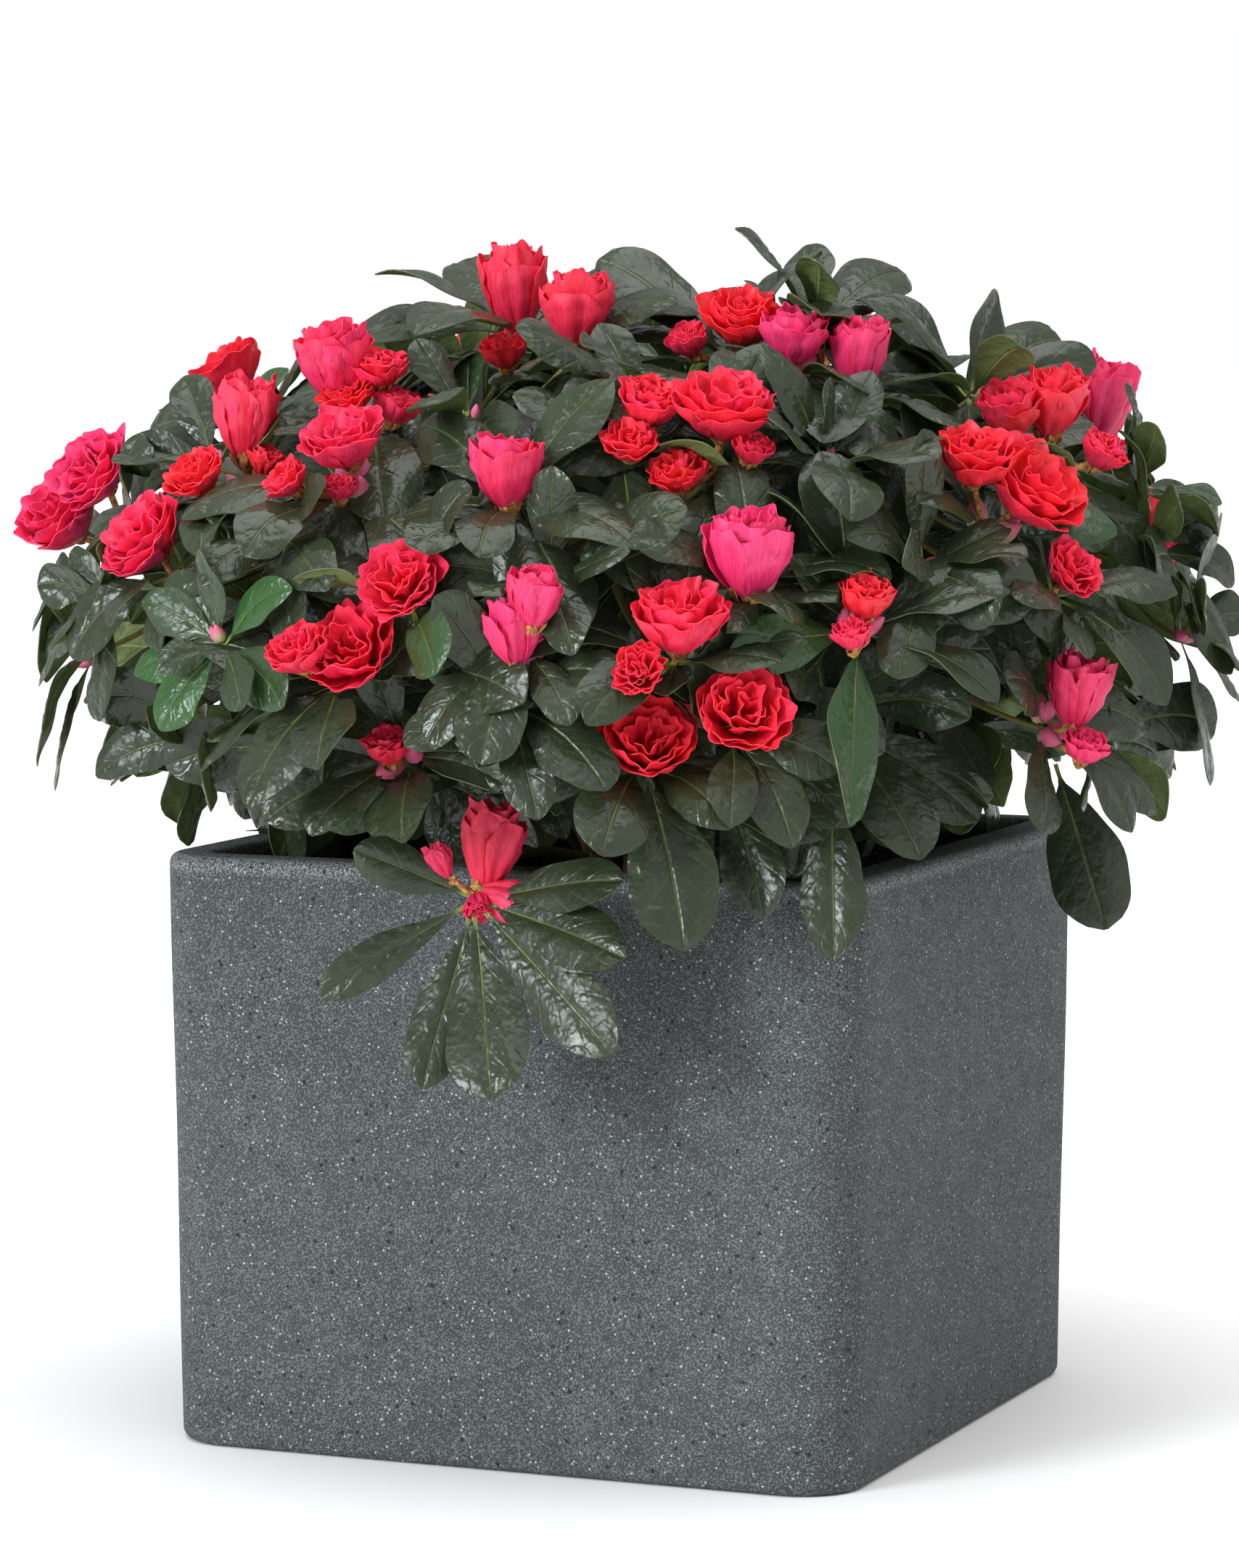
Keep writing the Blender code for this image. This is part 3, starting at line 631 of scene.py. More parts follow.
def uneven(points):
    """The faces of a rotation-moulded box wander by a few tenths of a millimetre."""
    x, y, z = points.T
    wander = np.sin(17 * x + 9 * z + 1.0) * np.sin(13 * y - 15 * z) + 0.6 * np.sin(31 * z + 23 * x - 19 * y)
    outside = np.maximum(abs(x), abs(y)) > WIDTH / 2 - 0.010
    fade = np.clip(z / 0.05, 0, 1) * np.clip((HEIGHT - z) / 0.03, 0, 1) * outside
    push = 0.00035 * wander * fade
    away = unit(np.stack((x, y, 0 * z), axis=-1))
    return points + away * push[:, None]


def drill(obj, places, radius):
    """Cuts an upright round hole through the wall at each place."""
    for place in places:
        bpy.ops.mesh.primitive_cylinder_add(vertices=32, radius=radius, depth=6 * WALL, location=place)
        cutter = bpy.context.object
        cut = obj.modifiers.new("drain", "BOOLEAN")
        cut.object = cutter
        cut.solver = "EXACT"
        bpy.context.view_layer.update()
        drilled = bpy.data.meshes.new_from_object(obj.evaluated_get(bpy.context.evaluated_depsgraph_get()))
        obj.modifiers.clear()
        obj.data = drilled
        bpy.data.objects.remove(cutter)


def make_shell():
    """The moulded box: its section swept round a rounded square, then drilled."""
    rings = [square_loop(inset, height) for inset, height in shell_profile()]
    index, _, quads = ring_faces(len(rings), len(rings[0]))
    shell = Pieces()
    points = uneven(np.array(rings).reshape(-1, 3))
    caps = (index[0][::-1][None, :], index[-1][None, :])
    shell.add(points, (quads, *caps), np.zeros((index.size, 2)), 0.0)
    obj = shell.build("granite_shell", granite_material(), "planter", "granite_plastic", 40)
    plugs = [sum(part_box(f"drain_plug_{number}"), Vector()) / 2 for number in range(1, 5)]
    drill(obj, [(plug.x, plug.y, 0.0) for plug in plugs], DRAIN_RADIUS)
    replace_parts(obj, "planter_shell")


def make_plugs():
    """Mushroom rubber plugs with a ribbed stem, a domed head and a pull knob."""
    material = rubber_material()
    for number in range(1, 5):
        low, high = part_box(f"drain_plug_{number}")
        x, y = (low.x + high.x) / 2, (low.y + high.y) / 2
        head = high.x - x
        stem = DRAIN_RADIUS - 0.0004
        top, base = high.z, low.z
        flange = top - 0.009
        profile = [
            (0.0015, base), (stem - 0.0015, base), (stem - 0.0004, base + 0.0010),
            (stem - 0.0009, base + 0.0016), (stem, base + 0.0024), (stem - 0.0008, base + 0.0031),
            (stem, flange - 0.0001), (stem, flange), (head - 0.0003, flange),
            (head, flange + 0.0006), (head - 0.0003, flange + 0.0018), (head - 0.0016, flange + 0.0027),
            (0.0052, flange + 0.0032), (0.0034, flange + 0.0040), (0.0033, flange + 0.0062),
            (0.0042, top - 0.0016), (0.0044, top - 0.0008), (0.0036, top), (0.0015, top),
        ]
        plug = Pieces()
        plug.bead((x, y, 0), (0, 0, 1), profile, 40, 0.0)
        obj = plug.build(f"rubber_plug_{number}", material, f"plug_{number}", "plug_rubber", 35)
        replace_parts(obj, f"drain_plug_{number}")


# --- nursery pot and potting mix


def make_pot():
    """A tapered pot with a raised band, ribs under it and drain holes in its foot."""
    low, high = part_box("nursery_pot")
    base_z, height = low.z, high.z - low.z
    band, band_height = high.x, 0.022
    side_height = height - band_height

    def side(z):
        return POT_FOOT_RADIUS + (POT_TOP_RADIUS - POT_FOOT_RADIUS) * z / side_height

    outer = [(0.002, 0.003), (0.085, 0.003), (0.090, 0.0), (0.097, 0.0), (side(0.006), 0.006)]
    outer += [(side(side_height * i / 12), side_height * i / 12) for i in range(1, 12)]
    outer += [(side(side_height), side_height - 0.002), (band - 0.001, side_height)]
    outer += [(band - 0.0004, side_height + 0.010), (band - 0.0008, height - 0.003)]
    outer += [(band, height - 0.002), (band - 0.0006, height)]
    inner = [(band - POT_WALL, height), (band - POT_WALL - 0.001, side_height + 0.001)]
    inner += [(side(side_height) - POT_WALL, side_height - 0.003)]
    inner += [(side(side_height * i / 6) - POT_WALL, side_height * i / 6) for i in range(5, 0, -1)]
    inner += [(side(0.008) - POT_WALL, 0.0075), (0.092, 0.0058), (0.002, 0.0058)]
    pot = Pieces()
    pot.bead((0, 0, base_z), (0, 0, 1), outer + inner, 96, 0.0)
    for number in range(24):
        out = flat(radians(15 * number))
        foot = out * (side(side_height * 0.62) + 0.0002) + (0, 0, base_z + side_height * 0.62)
        head = out * (side(side_height) - 0.0002) + (0, 0, base_z + side_height - 0.003)
        pot.tube([foot, (foot + head) / 2, head], (0.0006, 0.0011, 0.0012), 8, 0.0)
    obj = pot.build("black_nursery_pot", pot_material(), "planting", "pot_plastic", 35)
    holes = [flat(radians(45 + 90 * number)) for number in range(4)]
    drill(obj, [out * POT_HOLE_CIRCLE + (0, 0, base_z) for out in holes], POT_HOLE_RADIUS)
    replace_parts(obj, "nursery_pot")


def scattered(rng, count, radius, clear):
    """Places on the soil, spread evenly from the clear middle out to the radius."""
    reach = np.sqrt(rng.uniform(clear**2, radius**2, count))
    angle = rng.uniform(0, 2 * pi, count)
    return np.stack((reach * np.cos(angle), reach * np.sin(angle)), axis=-1)


def soil_height(x, y):
    swell = 0.0012 * np.sin(55 * x + 1) * np.sin(61 * y) + 0.0009 * np.sin(140 * x - 90 * y)
    return SOIL_TOP_Z - 0.0035 - 0.18 * np.maximum(np.hypot(x, y) - 0.08, 0) ** 1.1 + swell


def lump(pieces, rng, centre, size, tint):
    """An angular crumb: a bead with uneven rings. The size is its width and length."""
    profile = [(0.3, -0.5), (0.9, -0.25), (1.0, 0.05), (0.8, 0.32), (0.25, 0.5)]
    scaled = [(r * size[0] / 2 * rng.uniform(0.75, 1.2), h * size[1]) for r, h in profile]
    axis = unit(rng.normal(size=3) * (1, 1, 0.35))
    pieces.bead(centre, axis, scaled, 6, tint)


def make_soil():
    """The potting mix, with bark chips and perlite strewn over it."""
    rng = np.random.default_rng(41)
    radius, rings, sides = 0.1295, 30, 90
    turn = np.linspace(0, 2 * pi, sides, endpoint=False)
    rows = []
    for reach in np.linspace(0.0, radius, rings)[1:]:
        x, y = reach * np.cos(turn), reach * np.sin(turn)
        crumb = 0.0008 * np.sin(210 * x + 3 * np.sin(170 * y)) * np.sin(190 * y)
        rows.append(np.stack((x, y, soil_height(x, y) + crumb), axis=-1))
    low, shoulder, foot_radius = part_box("potting_mix")[0].z, 0.012, 0.096
    for share in (0.1, 0.5, 1.0):
        z = SOIL_TOP_Z - shoulder + (low - SOIL_TOP_Z + shoulder) * share
        reach = radius - (radius - foot_radius) * share
        rows.append(np.stack((reach * np.cos(turn), reach * np.sin(turn), z + 0 * turn), axis=-1))
    grid = np.array(rows)
    index, _, quads = ring_faces(len(rows), sides)
    soil = Pieces()
    caps = (index[0][None, :], index[-1][::-1][None, :])
    soil.add(grid.reshape(-1, 3), (quads[:, (0, 3, 2, 1)], *caps), np.zeros((index.size, 2)), 0.0)
    obj = soil.build("peat_surface", soil_material(), "planting", "potting_mix", 60)
    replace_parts(obj, "potting_mix")
    chips, perlite = Pieces(), Pieces()
    for x, y in scattered(rng, 330, 0.124, 0.034):
        size = (rng.uniform(0.003, 0.007), rng.uniform(0.006, 0.016))
        lump(chips, rng, (x, y, soil_height(x, y) + 0.0015), size, rng.uniform(0, 1))
    for x, y in scattered(rng, 260, 0.126, 0.034):
        size = rng.uniform(0.0016, 0.0042)
        lump(perlite, rng, (x, y, soil_height(x, y) + 0.001), (size, size), 0.0)
    chips.build("bark_chips", chip_material(), "planting", "potting_mix")
    perlite.build("perlite_grains", perlite_material(), "planting", "potting_mix")


# --- wood


def crown_point(azimuth, elevation, reach=1.0):
    """A point on the crown's smooth surface, or part of the way out to it."""
    a, e = radians(azimuth), radians(elevation)
    rise = CROWN_RISE if e > 0 else CROWN_DROP
    spread = CROWN_RADIUS * cos(e)
    point = np.array((spread * cos(a), spread * sin(a), rise * sin(e)))
    return point * reach + (0, 0, CROWN_WAIST_Z)


def outwards(azimuth, elevation):
    """The axis of a leafy shoot on the crown: outwards, lifted towards upright."""
    a, e = radians(azimuth), radians(elevation)
    out = (cos(e) * cos(a), cos(e) * sin(a), sin(e) + HEAD_LIFT)
    return unit(np.array(out))


def stem_route(azimuth, elevation, points=14):
    """A main stem's line, from the root collar to a point part of the way out to the crown."""
    tip = crown_point(azimuth, elevation, STEM_REACH)
    reach = hypot(tip[0], tip[1])
    base_z = COLLAR_TOP_Z - 0.004
    route = []
    for along in np.linspace(0, 1, points):
        radius = STEM_CIRCLE + (reach - STEM_CIRCLE) * along**1.35
        height = base_z + (tip[2] - base_z) * along**0.85
        turn = radians(azimuth + 5.0 * sin(pi * along))
        route.append((radius * cos(turn), radius * sin(turn), height))
    return np.array(route)


def make_wood(whorl_places):
    """The woody base, the main stems, and a twig from a stem to each shoot."""
    material = bark_material()
    rng = np.random.default_rng(7)
    collar = Pieces()
    low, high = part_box("root_collar")
    height = high.z - low.z
    profile = [(0.004, -0.002), (0.033, -0.002), (0.029, 0.004), (0.024, 0.012), (0.0225, height * 0.7)]
    profile += [(0.0215, height * 0.92), (0.019, height), (0.004, height + 0.001)]
    collar.bead((0, 0, low.z), (0, 0, 1), profile, 28, 0.0)
    points = collar.points[0]
    angle = np.arctan2(points[:, 1], points[:, 0])
    swell = 1 + 0.10 * np.sin(5 * angle + 40 * points[:, 2]) + 0.05 * np.sin(11 * angle)
    points[:, :2] *= swell[:, None]
    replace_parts(collar.build("woody_base", material, "planting", "bark"), "root_collar")
    routes = []
    for number, (azimuth, elevation) in enumerate(zip(STEM_ANGLES, STEM_ELEVATIONS), 1):
        route = stem_route(azimuth, elevation)
        routes.append(route)
        stem = Pieces()
        radii = np.linspace(STEM_RADIUS * 1.15, STEM_RADIUS * 0.6, len(route))
        radii *= 1 + 0.10 * np.sin(np.arange(len(route)) * 2.1 + number)
        stem.tube(route, radii, 12, 0.15)
        obj = stem.build(f"woody_stem_{number}", material, "planting", "bark")
        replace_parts(obj, f"azalea_stem_{number}")
    twigs = Pieces()
    joints = np.concatenate([route[4:] for route in routes])
    for place in whorl_places:
        gaps = np.linalg.norm(joints - place, axis=1) + 0.35 * np.maximum(joints[:, 2] - place[2], 0)
        start = joints[np.argmin(gaps)]
        middle = start * 0.45 + place * 0.55 + np.array((0, 0, -0.02)) + rng.normal(size=3) * 0.006
        twigs.tube(bend(start, middle, place, 9), np.linspace(0.0022, 0.0013, 9), 7, 0.85)
    twigs.build("azalea_twigs", material, "planting", "bark")
    return material


# --- leaves


def clear_of_planter(grid):
    """Keeps a leaf off the planter: outside its faces, over its rim, or inside its lip."""
    gap = 0.0022
    inner = WIDTH / 2 - RIM_WIDTH - gap
    x, y, z = grid[..., 0], grid[..., 1], grid[..., 2]
    reach = np.maximum(abs(x), abs(y))
    face = WIDTH / 2 - DRAFT * np.clip(1 - z / HEIGHT, 0, 1) + gap
    middle = grid.shape[1] // 2
    over_face = reach[:, middle] > face[:, middle] - 0.008
    low = (z < HEIGHT + gap) & (reach > inner) & (reach < face)
    if over_face[-1]:
        hanging = np.arange(len(grid)) >= np.argmax(over_face)
        goal = np.where(hanging[:, None], face, reach)
    elif z[-1, middle] < HEIGHT - 0.03:
        goal = np.full_like(reach, inner)
    else:
        goal = reach
    moved = low & (goal != reach)
    grid[..., 0] = np.where(moved & (abs(x) >= abs(y)), np.sign(x) * goal, x)
    grid[..., 1] = np.where(moved & (abs(x) < abs(y)), np.sign(y) * goal, y)
    grid[..., 2] = np.where(low & ~moved, HEIGHT + gap, z)
    over_pot = np.hypot(x, y) < POT_CLEARANCE_RADIUS
    grid[..., 2] = np.where(over_pot, np.maximum(grid[..., 2], SOIL_TOP_Z + 0.012), grid[..., 2])
    return grid


def gathered(grid):
    """Draws the outermost leaf tips in a little, so that the crown keeps its width."""
    reach = np.hypot(grid[..., 0], grid[..., 1])
    kept = np.where(reach > CROWN_EDGE, CROWN_EDGE + 0.55 * (reach - CROWN_EDGE), reach)
    grid[..., :2] *= (kept / np.maximum(reach, 1e-6))[..., None]
    return grid


# Where a leaf's lines of points run: -1 and 1 are its edges, 0 its midrib
LEAF_ACROSS = np.array((-1.0, -0.72, -0.42, -0.14, 0.0, 0.14, 0.42, 0.72, 1.0))
SMALL_LEAF_ACROSS = np.array((-1.0, -0.5, 0.0, 0.5, 1.0))


def leaf_grid(rng, base, heading, up, length, width, droop, fine=True):
    """A blade that leaves its base along heading, sags, and is quilted between its veins."""
    rows, u = (25, LEAF_ACROSS) if fine else (12, SMALL_LEAF_ACROSS)
    along = np.linspace(0, 1, rows)
    sag = np.array((0.0, 0.0, -1.0)) * (droop * along**1.3)[:, None]
    lift = up * (0.16 * np.sin(along * pi * 1.2 + rng.uniform(-0.6, 0.6)))[:, None]
    ahead = unit(heading + sag + lift)
    steps = ahead * length / (rows - 1)
    spine = base + np.concatenate((np.zeros((1, 3)), np.cumsum(steps[:-1], axis=0)))
    across = unit(np.cross(np.broadcast_to(up, ahead.shape), ahead))
    raised = np.cross(ahead, across)
    roll = rng.normal(0, 0.25) + rng.normal(0, 0.25) * along
    side = across * np.cos(roll)[:, None] + raised * np.sin(roll)[:, None]
    upper = raised * np.cos(roll)[:, None] - across * np.sin(roll)[:, None]
    blade = np.clip((along - 0.09) / 0.91, 0, 1)
    outline = blade ** rng.uniform(0.95, 1.20) * np.maximum(1 - blade, 0) ** rng.uniform(0.52, 0.82)
    outline = outline / outline.max()
    half = np.maximum(width / 2 * outline, 0.0011)[:, None]
    phase = rng.uniform(0, 6.28, 3)
    margin = 1 + 0.035 * np.sin(17 * along[:, None] + phase[1] + 2 * np.sign(u))
    cup = rng.uniform(-0.05, 0.30)
    arch = -cup * half * abs(u) ** 1.8
    veins = SIDE_VEINS * along[:, None] - 1.5 * abs(u)
    full = np.minimum(half / 0.010, 1)
    quilt = 0.0006 * np.cos(2 * pi * veins) * (abs(u) * (1 - abs(u)) * 4) ** 0.6 * full
    ripple = 0.13 * half * u**2 * np.sin(8 * along[:, None] + phase[0] + 2.2 * np.sign(u))
    keel = 0.0016 * np.minimum(abs(u) / 0.30, 1) * full
    height = arch + quilt + ripple + keel
    out = half * u * margin
    return spine[:, None] + side[:, None] * out[..., None] + upper[:, None] * height[..., None]


def clear_of_blooms(grid, blooms):
    """Bends a leaf round the blooms it would touch; none if it would run through or hide one."""
    for centre, radius, front in blooms:
        away = grid - centre
        gap = np.linalg.norm(away, axis=-1)
        depth = radius - gap
        if depth.max() > 0.5 * radius:
            return None
        ahead = away @ front
        aside = np.linalg.norm(away - ahead[..., None] * front, axis=-1)
        if ((ahead > 0) & (aside < 0.66 * radius)).any():
            return None
        if depth.max() > 0:
            grid = grid + away * (np.maximum(depth, 0) / np.maximum(gap, 1e-6))[..., None]
    return grid


def hides_rim(grid):
    """True for a leaf that hangs over the stretches of rim that the plant leaves bare."""
    x, y, z = grid[..., 0], grid[..., 1], grid[..., 2]
    low = z < HEIGHT + 0.010
    front = low & (y < -WIDTH / 2 + 0.028) & (x < 0.090)
    side = low & (x > WIDTH / 2 - 0.028) & (y > -0.150) & (y < 0.200)
    corner = (z < HEIGHT + 0.030) & (x < -0.095) & (y < -0.120)
    return bool((front | side | corner).any())


def add_leaf(leaves, grid, tint, blooms=(), bare=False):
    """Adds the leaf, moved clear of blooms and planter; False if it has to be left out."""
    u = LEAF_ACROSS if grid.shape[1] == len(LEAF_ACROSS) else SMALL_LEAF_ACROSS
    grid = clear_of_blooms(gathered(grid), blooms)
    if grid is None:
        return False
    grid = clear_of_planter(grid)
    if bare and hides_rim(grid):
        return False
    leaves.sheet(grid, LEAF_THICKNESS, tint, (u + 1) / 2)
    return True


def whorl(leaves, rng, blooms, place, axis, count, length, droop, tint=0.0, opening=1.25, fine=True):
    """Leaves round a shoot's end: short upright ones inside, long drooping ones outside."""
    first, second = frame_about(axis)
    start = rng.uniform(0, 2 * pi)
    for number in range(count):
        turn = start + number * GOLDEN_ANGLE + rng.normal(0, 0.18)
        rank = (number + 0.5) / count
        spread = opening * (1.10 - 0.45 * rank) + rng.normal(0, 0.14)
        out = first * cos(turn) + second * sin(turn)
        heading = axis * cos(spread) + out * sin(spread)
        up = unit(axis * sin(spread) - out * cos(spread) + np.array((0, 0, 0.25)))
        size = length * (1.08 - 0.30 * rank) * rng.uniform(0.86, 1.10)
        sag = droop * (1.25 - 0.8 * rank) * rng.uniform(0.5, 1.4)
        base = place + out * 0.0025 + axis * 0.006 * rank
        width = size * rng.uniform(0.38, 0.50)
        shade = np.clip(tint + rng.normal(0, 0.16), 0, 1)
        for share, hang in ((1.0, 1.0), (0.85, 0.4), (0.62, 0.0)):
            grid = leaf_grid(rng, base, heading, up, size * share, width * share, sag * hang, fine)
            if add_leaf(leaves, grid, shade, blooms, True):
                break


# --- blooms


def petal_grid(rng, radius, height, half_width, flare, wave, rows=12, columns=21, belly=2.7):
    """A broad ruffled petal standing in a goblet round the local Z axis, centred on +X."""
    v, u = np.meshgrid(np.linspace(0, 1, rows), np.linspace(-1, 1, columns), indexing="ij")
    phase = rng.uniform(0, 6.28, 8)
    ragged = 0.030 * np.sin(3.6 * u + phase[0]) + 0.018 * np.sin(7 * u + phase[1])
    reach = v * (1 - 0.20 * abs(u) ** 3.2 + ragged * v)
    swell = 1 - (1 - np.clip(reach, 0, 1)) ** belly
    frill = np.clip(reach, 0, 1.2) ** 2.4
    pleat = np.sin(6.5 * u + phase[2]) + 0.5 * np.sin(10 * u + phase[3])
    ruffle = np.sin(4.0 * u + phase[4] + 2.2 * reach) + 0.40 * np.sin(7.5 * u + phase[5] - 3.0 * reach)
    r = radius * (swell + flare * frill) + 0.0008 * pleat * swell + wave * frill * ruffle
    h = height * reach**1.12 - 0.5 * radius * flare * frill + 0.22 * wave * frill * np.sin(5 * u + phase[6])
    turn = u * half_width * (0.62 + 0.38 * np.minimum(reach / 0.5, 1))
    curl = wave / max(radius, 0.006) * frill * np.cos(4.0 * u + phase[4] + 2.2 * reach)
    turn = turn + 0.42 * curl + 0.10 * reach * sin(phase[7])
    crumple = np.sin(h * 520 + 3 * u + phase[1]) * np.sin(u * 5 + phase[6]) * np.clip(2 * reach - 0.4, 0, 1)
    edge = np.clip(reach / 0.9, 0, 1.2) ** 7
    r = r + 0.0010 * crumple + 0.22 * wave * edge * np.sin(12 * u + phase[7])
    h = h + 0.20 * wave * edge * np.sin(12 * u + phase[7] + 1.3)
    return np.stack((r * np.cos(turn), r * np.sin(turn), h), axis=-1)


def spun(grid, turn):
    """The grid turned about the local Z axis."""
    c, s = cos(turn), sin(turn)
    x, y = grid[..., 0], grid[..., 1]
    return np.stack((c * x - s * y, s * x + c * y, grid[..., 2]), axis=-1)


# Layers of a double bloom: petals, radius share, height share, half width, flare, wave in mm
BLOOM_LAYERS = (
    (5, 1.00, 0.88, 0.92, 0.00, 1.7),
    (5, 0.84, 0.98, 0.92, 0.04, 2.1),
    (4, 0.62, 1.02, 1.10, 0.12, 2.4),
    (3, 0.38, 1.00, 1.30, 0.30, 2.4),
    (2, 0.18, 0.94, 1.60, 0.60, 2.0),
)


def bloom(petals, rng, foot, axis, diameter, height, pink, openness):
    """Broad petals round a narrow foot; openness runs from 0, a goblet, to 1, spread wide."""
    axes = axes_about(axis)
    spread = 0.85 * openness - 0.14
    size = diameter / 2 / (1 + 0.85 * max(spread, 0))
    grain = (12, 21) if diameter > 0.030 else (9, 15)
    for count, share, rise, half, flare, wave in BLOOM_LAYERS:
        shift = rng.uniform(0, 2 * pi)
        drift = rng.normal(0, 0.05, 3) * diameter * (1 - share) * (1, 1, 0.6)
        for number in range(count):
            turn = shift + 2 * pi * number / count + rng.normal(0, 0.14)
            radius = size * share * rng.uniform(0.93, 1.05)
            tall = height * rise * rng.uniform(0.90, 1.04)
            wide = (spread + flare * openness) * rng.uniform(0.8, 1.2)
            strength = wave / 1000 * (0.60 + 0.55 * openness) * diameter / 0.050
            grid = petal_grid(rng, radius, tall, half, wide, strength, *grain, 1.9 + 1.2 * openness)
            shade = np.clip(pink + rng.normal(0, 0.10), 0, 1)
            lean = 1 + rng.normal(0, 0.06, 3) * (1, 1, 0.4)
            petal = spun(grid, turn) * lean + drift * (grid[..., 2:] / tall)
            petals.sheet(foot + petal @ axes, PETAL_THICKNESS, shade)


def calyx(scales, rng, foot, axis, size):
    """Papery scales round a bloom's foot."""
    axes = axes_about(axis)
    for number in range(6):
        turn = number * 1.047 + rng.normal(0, 0.25)
        radius, height = size * rng.uniform(0.35, 0.55), size * rng.uniform(0.7, 1.3)
        grid = petal_grid(rng, radius, height, 0.55, rng.uniform(0.0, 0.4), 0.0006, 6, 5)
        scales.sheet(foot - axis * 0.004 + spun(grid, turn) @ axes, SCALE_THICKNESS, 0.0)


# A bud's radius and height, as shares of its length
BUD_PROFILE = ((0.10, 0.0), (0.30, 0.05), (0.46, 0.22), (0.50, 0.42), (0.40, 0.66), (0.22, 0.86), (0.05, 1.0))


def bud(buds, rng, foot, axis, length, tint):
    lean = unit(axis + rng.normal(size=3) * 0.22)
    profile = [(radius * length * 0.62, height * length) for radius, height in BUD_PROFILE]
    buds.bead(foot, lean, profile, 10, tint)


def head_direction(centre, lift):
    """The axis of a bloom on the crown: outwards, lifted towards upright."""
    rise = CROWN_RISE if centre[2] > CROWN_WAIST_Z else CROWN_DROP
    height = max(-1.0, min(1.0, (centre[2] - CROWN_WAIST_Z) / rise))
    azimuth = atan2(centre[1], centre[0])
    level = sqrt(1 - height**2)
    return unit(np.array((level * cos(azimuth), level * sin(azimuth), height + lift)))


def filling_shoots(rng, taken, count, reach, gap):
    """Shoot ends spread evenly over the crown, clear of the places already taken."""
    shoots = []
    for number in range(count):
        height = 1 - 1.86 * (number + 0.5) / count
        azimuth = degrees(number * GOLDEN_ANGLE) % 360
        elevation = degrees(asin(height))
        sunk = 1 - 0.17 * max(height, 0)
        place = crown_point(azimuth, elevation, reach * rng.uniform(0.88, 1.02) * sunk)
        if all(np.linalg.norm(place - other) > gap for other in taken):
            shoots.append((place, outwards(azimuth, elevation), elevation))
    return shoots


def add_buds(buds, rng, place, axis, count, length):
    first, second = frame_about(axis)
    for _ in range(count):
        turn = rng.uniform(0, 2 * pi)
        out = first * cos(turn) + second * sin(turn)
        size = length * rng.uniform(0.7, 1.15)
        bud(buds, rng, place + out * 0.004, axis + out * 0.6, size, rng.uniform(0, 1))


def cluster_blooms(number, centre, size):
    """Each bloom of a head: middle, axis, width, height, facing, openness, colour, and the way to
    the viewer, which leaves keep clear of."""
    azimuth, front = atan2(centre[1], centre[0]), head_direction(centre, 0.2)
    seen = number <= len(CLUSTERS)
    if seen:
        rows = [[value / 1000 for value in row[:4]] + list(row[4:]) for row in CLUSTERS[number - 1]]
        azimuth, front = VIEW_AZIMUTH, SIGHT
    else:
        rows = FAR_CLUSTERS[number % len(FAR_CLUSTERS)]
        rows = [[value * size for value in row[:4]] + list(row[4:]) for row in rows]
    across, toward = view_axes(azimuth)
    for order, (aside, rise, width, height, openness, pink) in enumerate(rows):
        middle = centre + across * aside + (0, 0, rise) + toward * 0.32 * width * min(order, 1)
        facing = min(max((openness - 0.2) / 0.4, 0), 1)
        axis = head_direction(centre, 0.35 * facing + 4.0 * (1 - facing)) + across * aside / width * 0.4
        if seen:
            axis = axis + SIGHT * 1.6 * facing * max(0.0, 0.55 - axis @ SIGHT)
        yield middle, unit(axis), width, height, facing, openness, pink, front


def make_cluster(name, number, rng, petal, scales):
    """One flower head: blooms on short stalks from one shoot. Returns the shoot's end, its axis
    and each bloom's room as centre, radius and the way to the viewer."""
    low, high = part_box(name)
    centre = box_centre(name)
    size = sum(high - low) / 3
    main_axis = head_direction(centre, 0.7)
    root = centre - main_axis * (0.50 * size + 0.006)
    petals, rooms = Pieces(), []
    for middle, axis, width, height, facing, openness, pink, front in cluster_blooms(number, centre, size):
        width, height = 0.99 * width, 0.98 * height
        diameter = width + (height - width) * facing / 2
        depth = height * (1 - facing) + 0.60 * diameter * facing
        foot = middle - axis * depth * 0.52
        bloom(petals, rng, foot, axis, diameter, depth, pink, openness)
        calyx(scales, rng, foot, axis, min(0.016, 0.36 * width))
        halfway = root * 0.5 + foot * 0.5 - (0, 0, 0.002)
        stalk = bend(root, halfway, foot + axis * 0.003, 6)
        scales.tube(stalk, np.linspace(0.0015, 0.0021, 6), 7, 0.0)
        rooms.append((middle, 0.52 * diameter, front))
    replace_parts(petals.build(f"bloom_{number:02d}", petal, "planting", "petal", 70), name)
    return root, main_axis, rooms


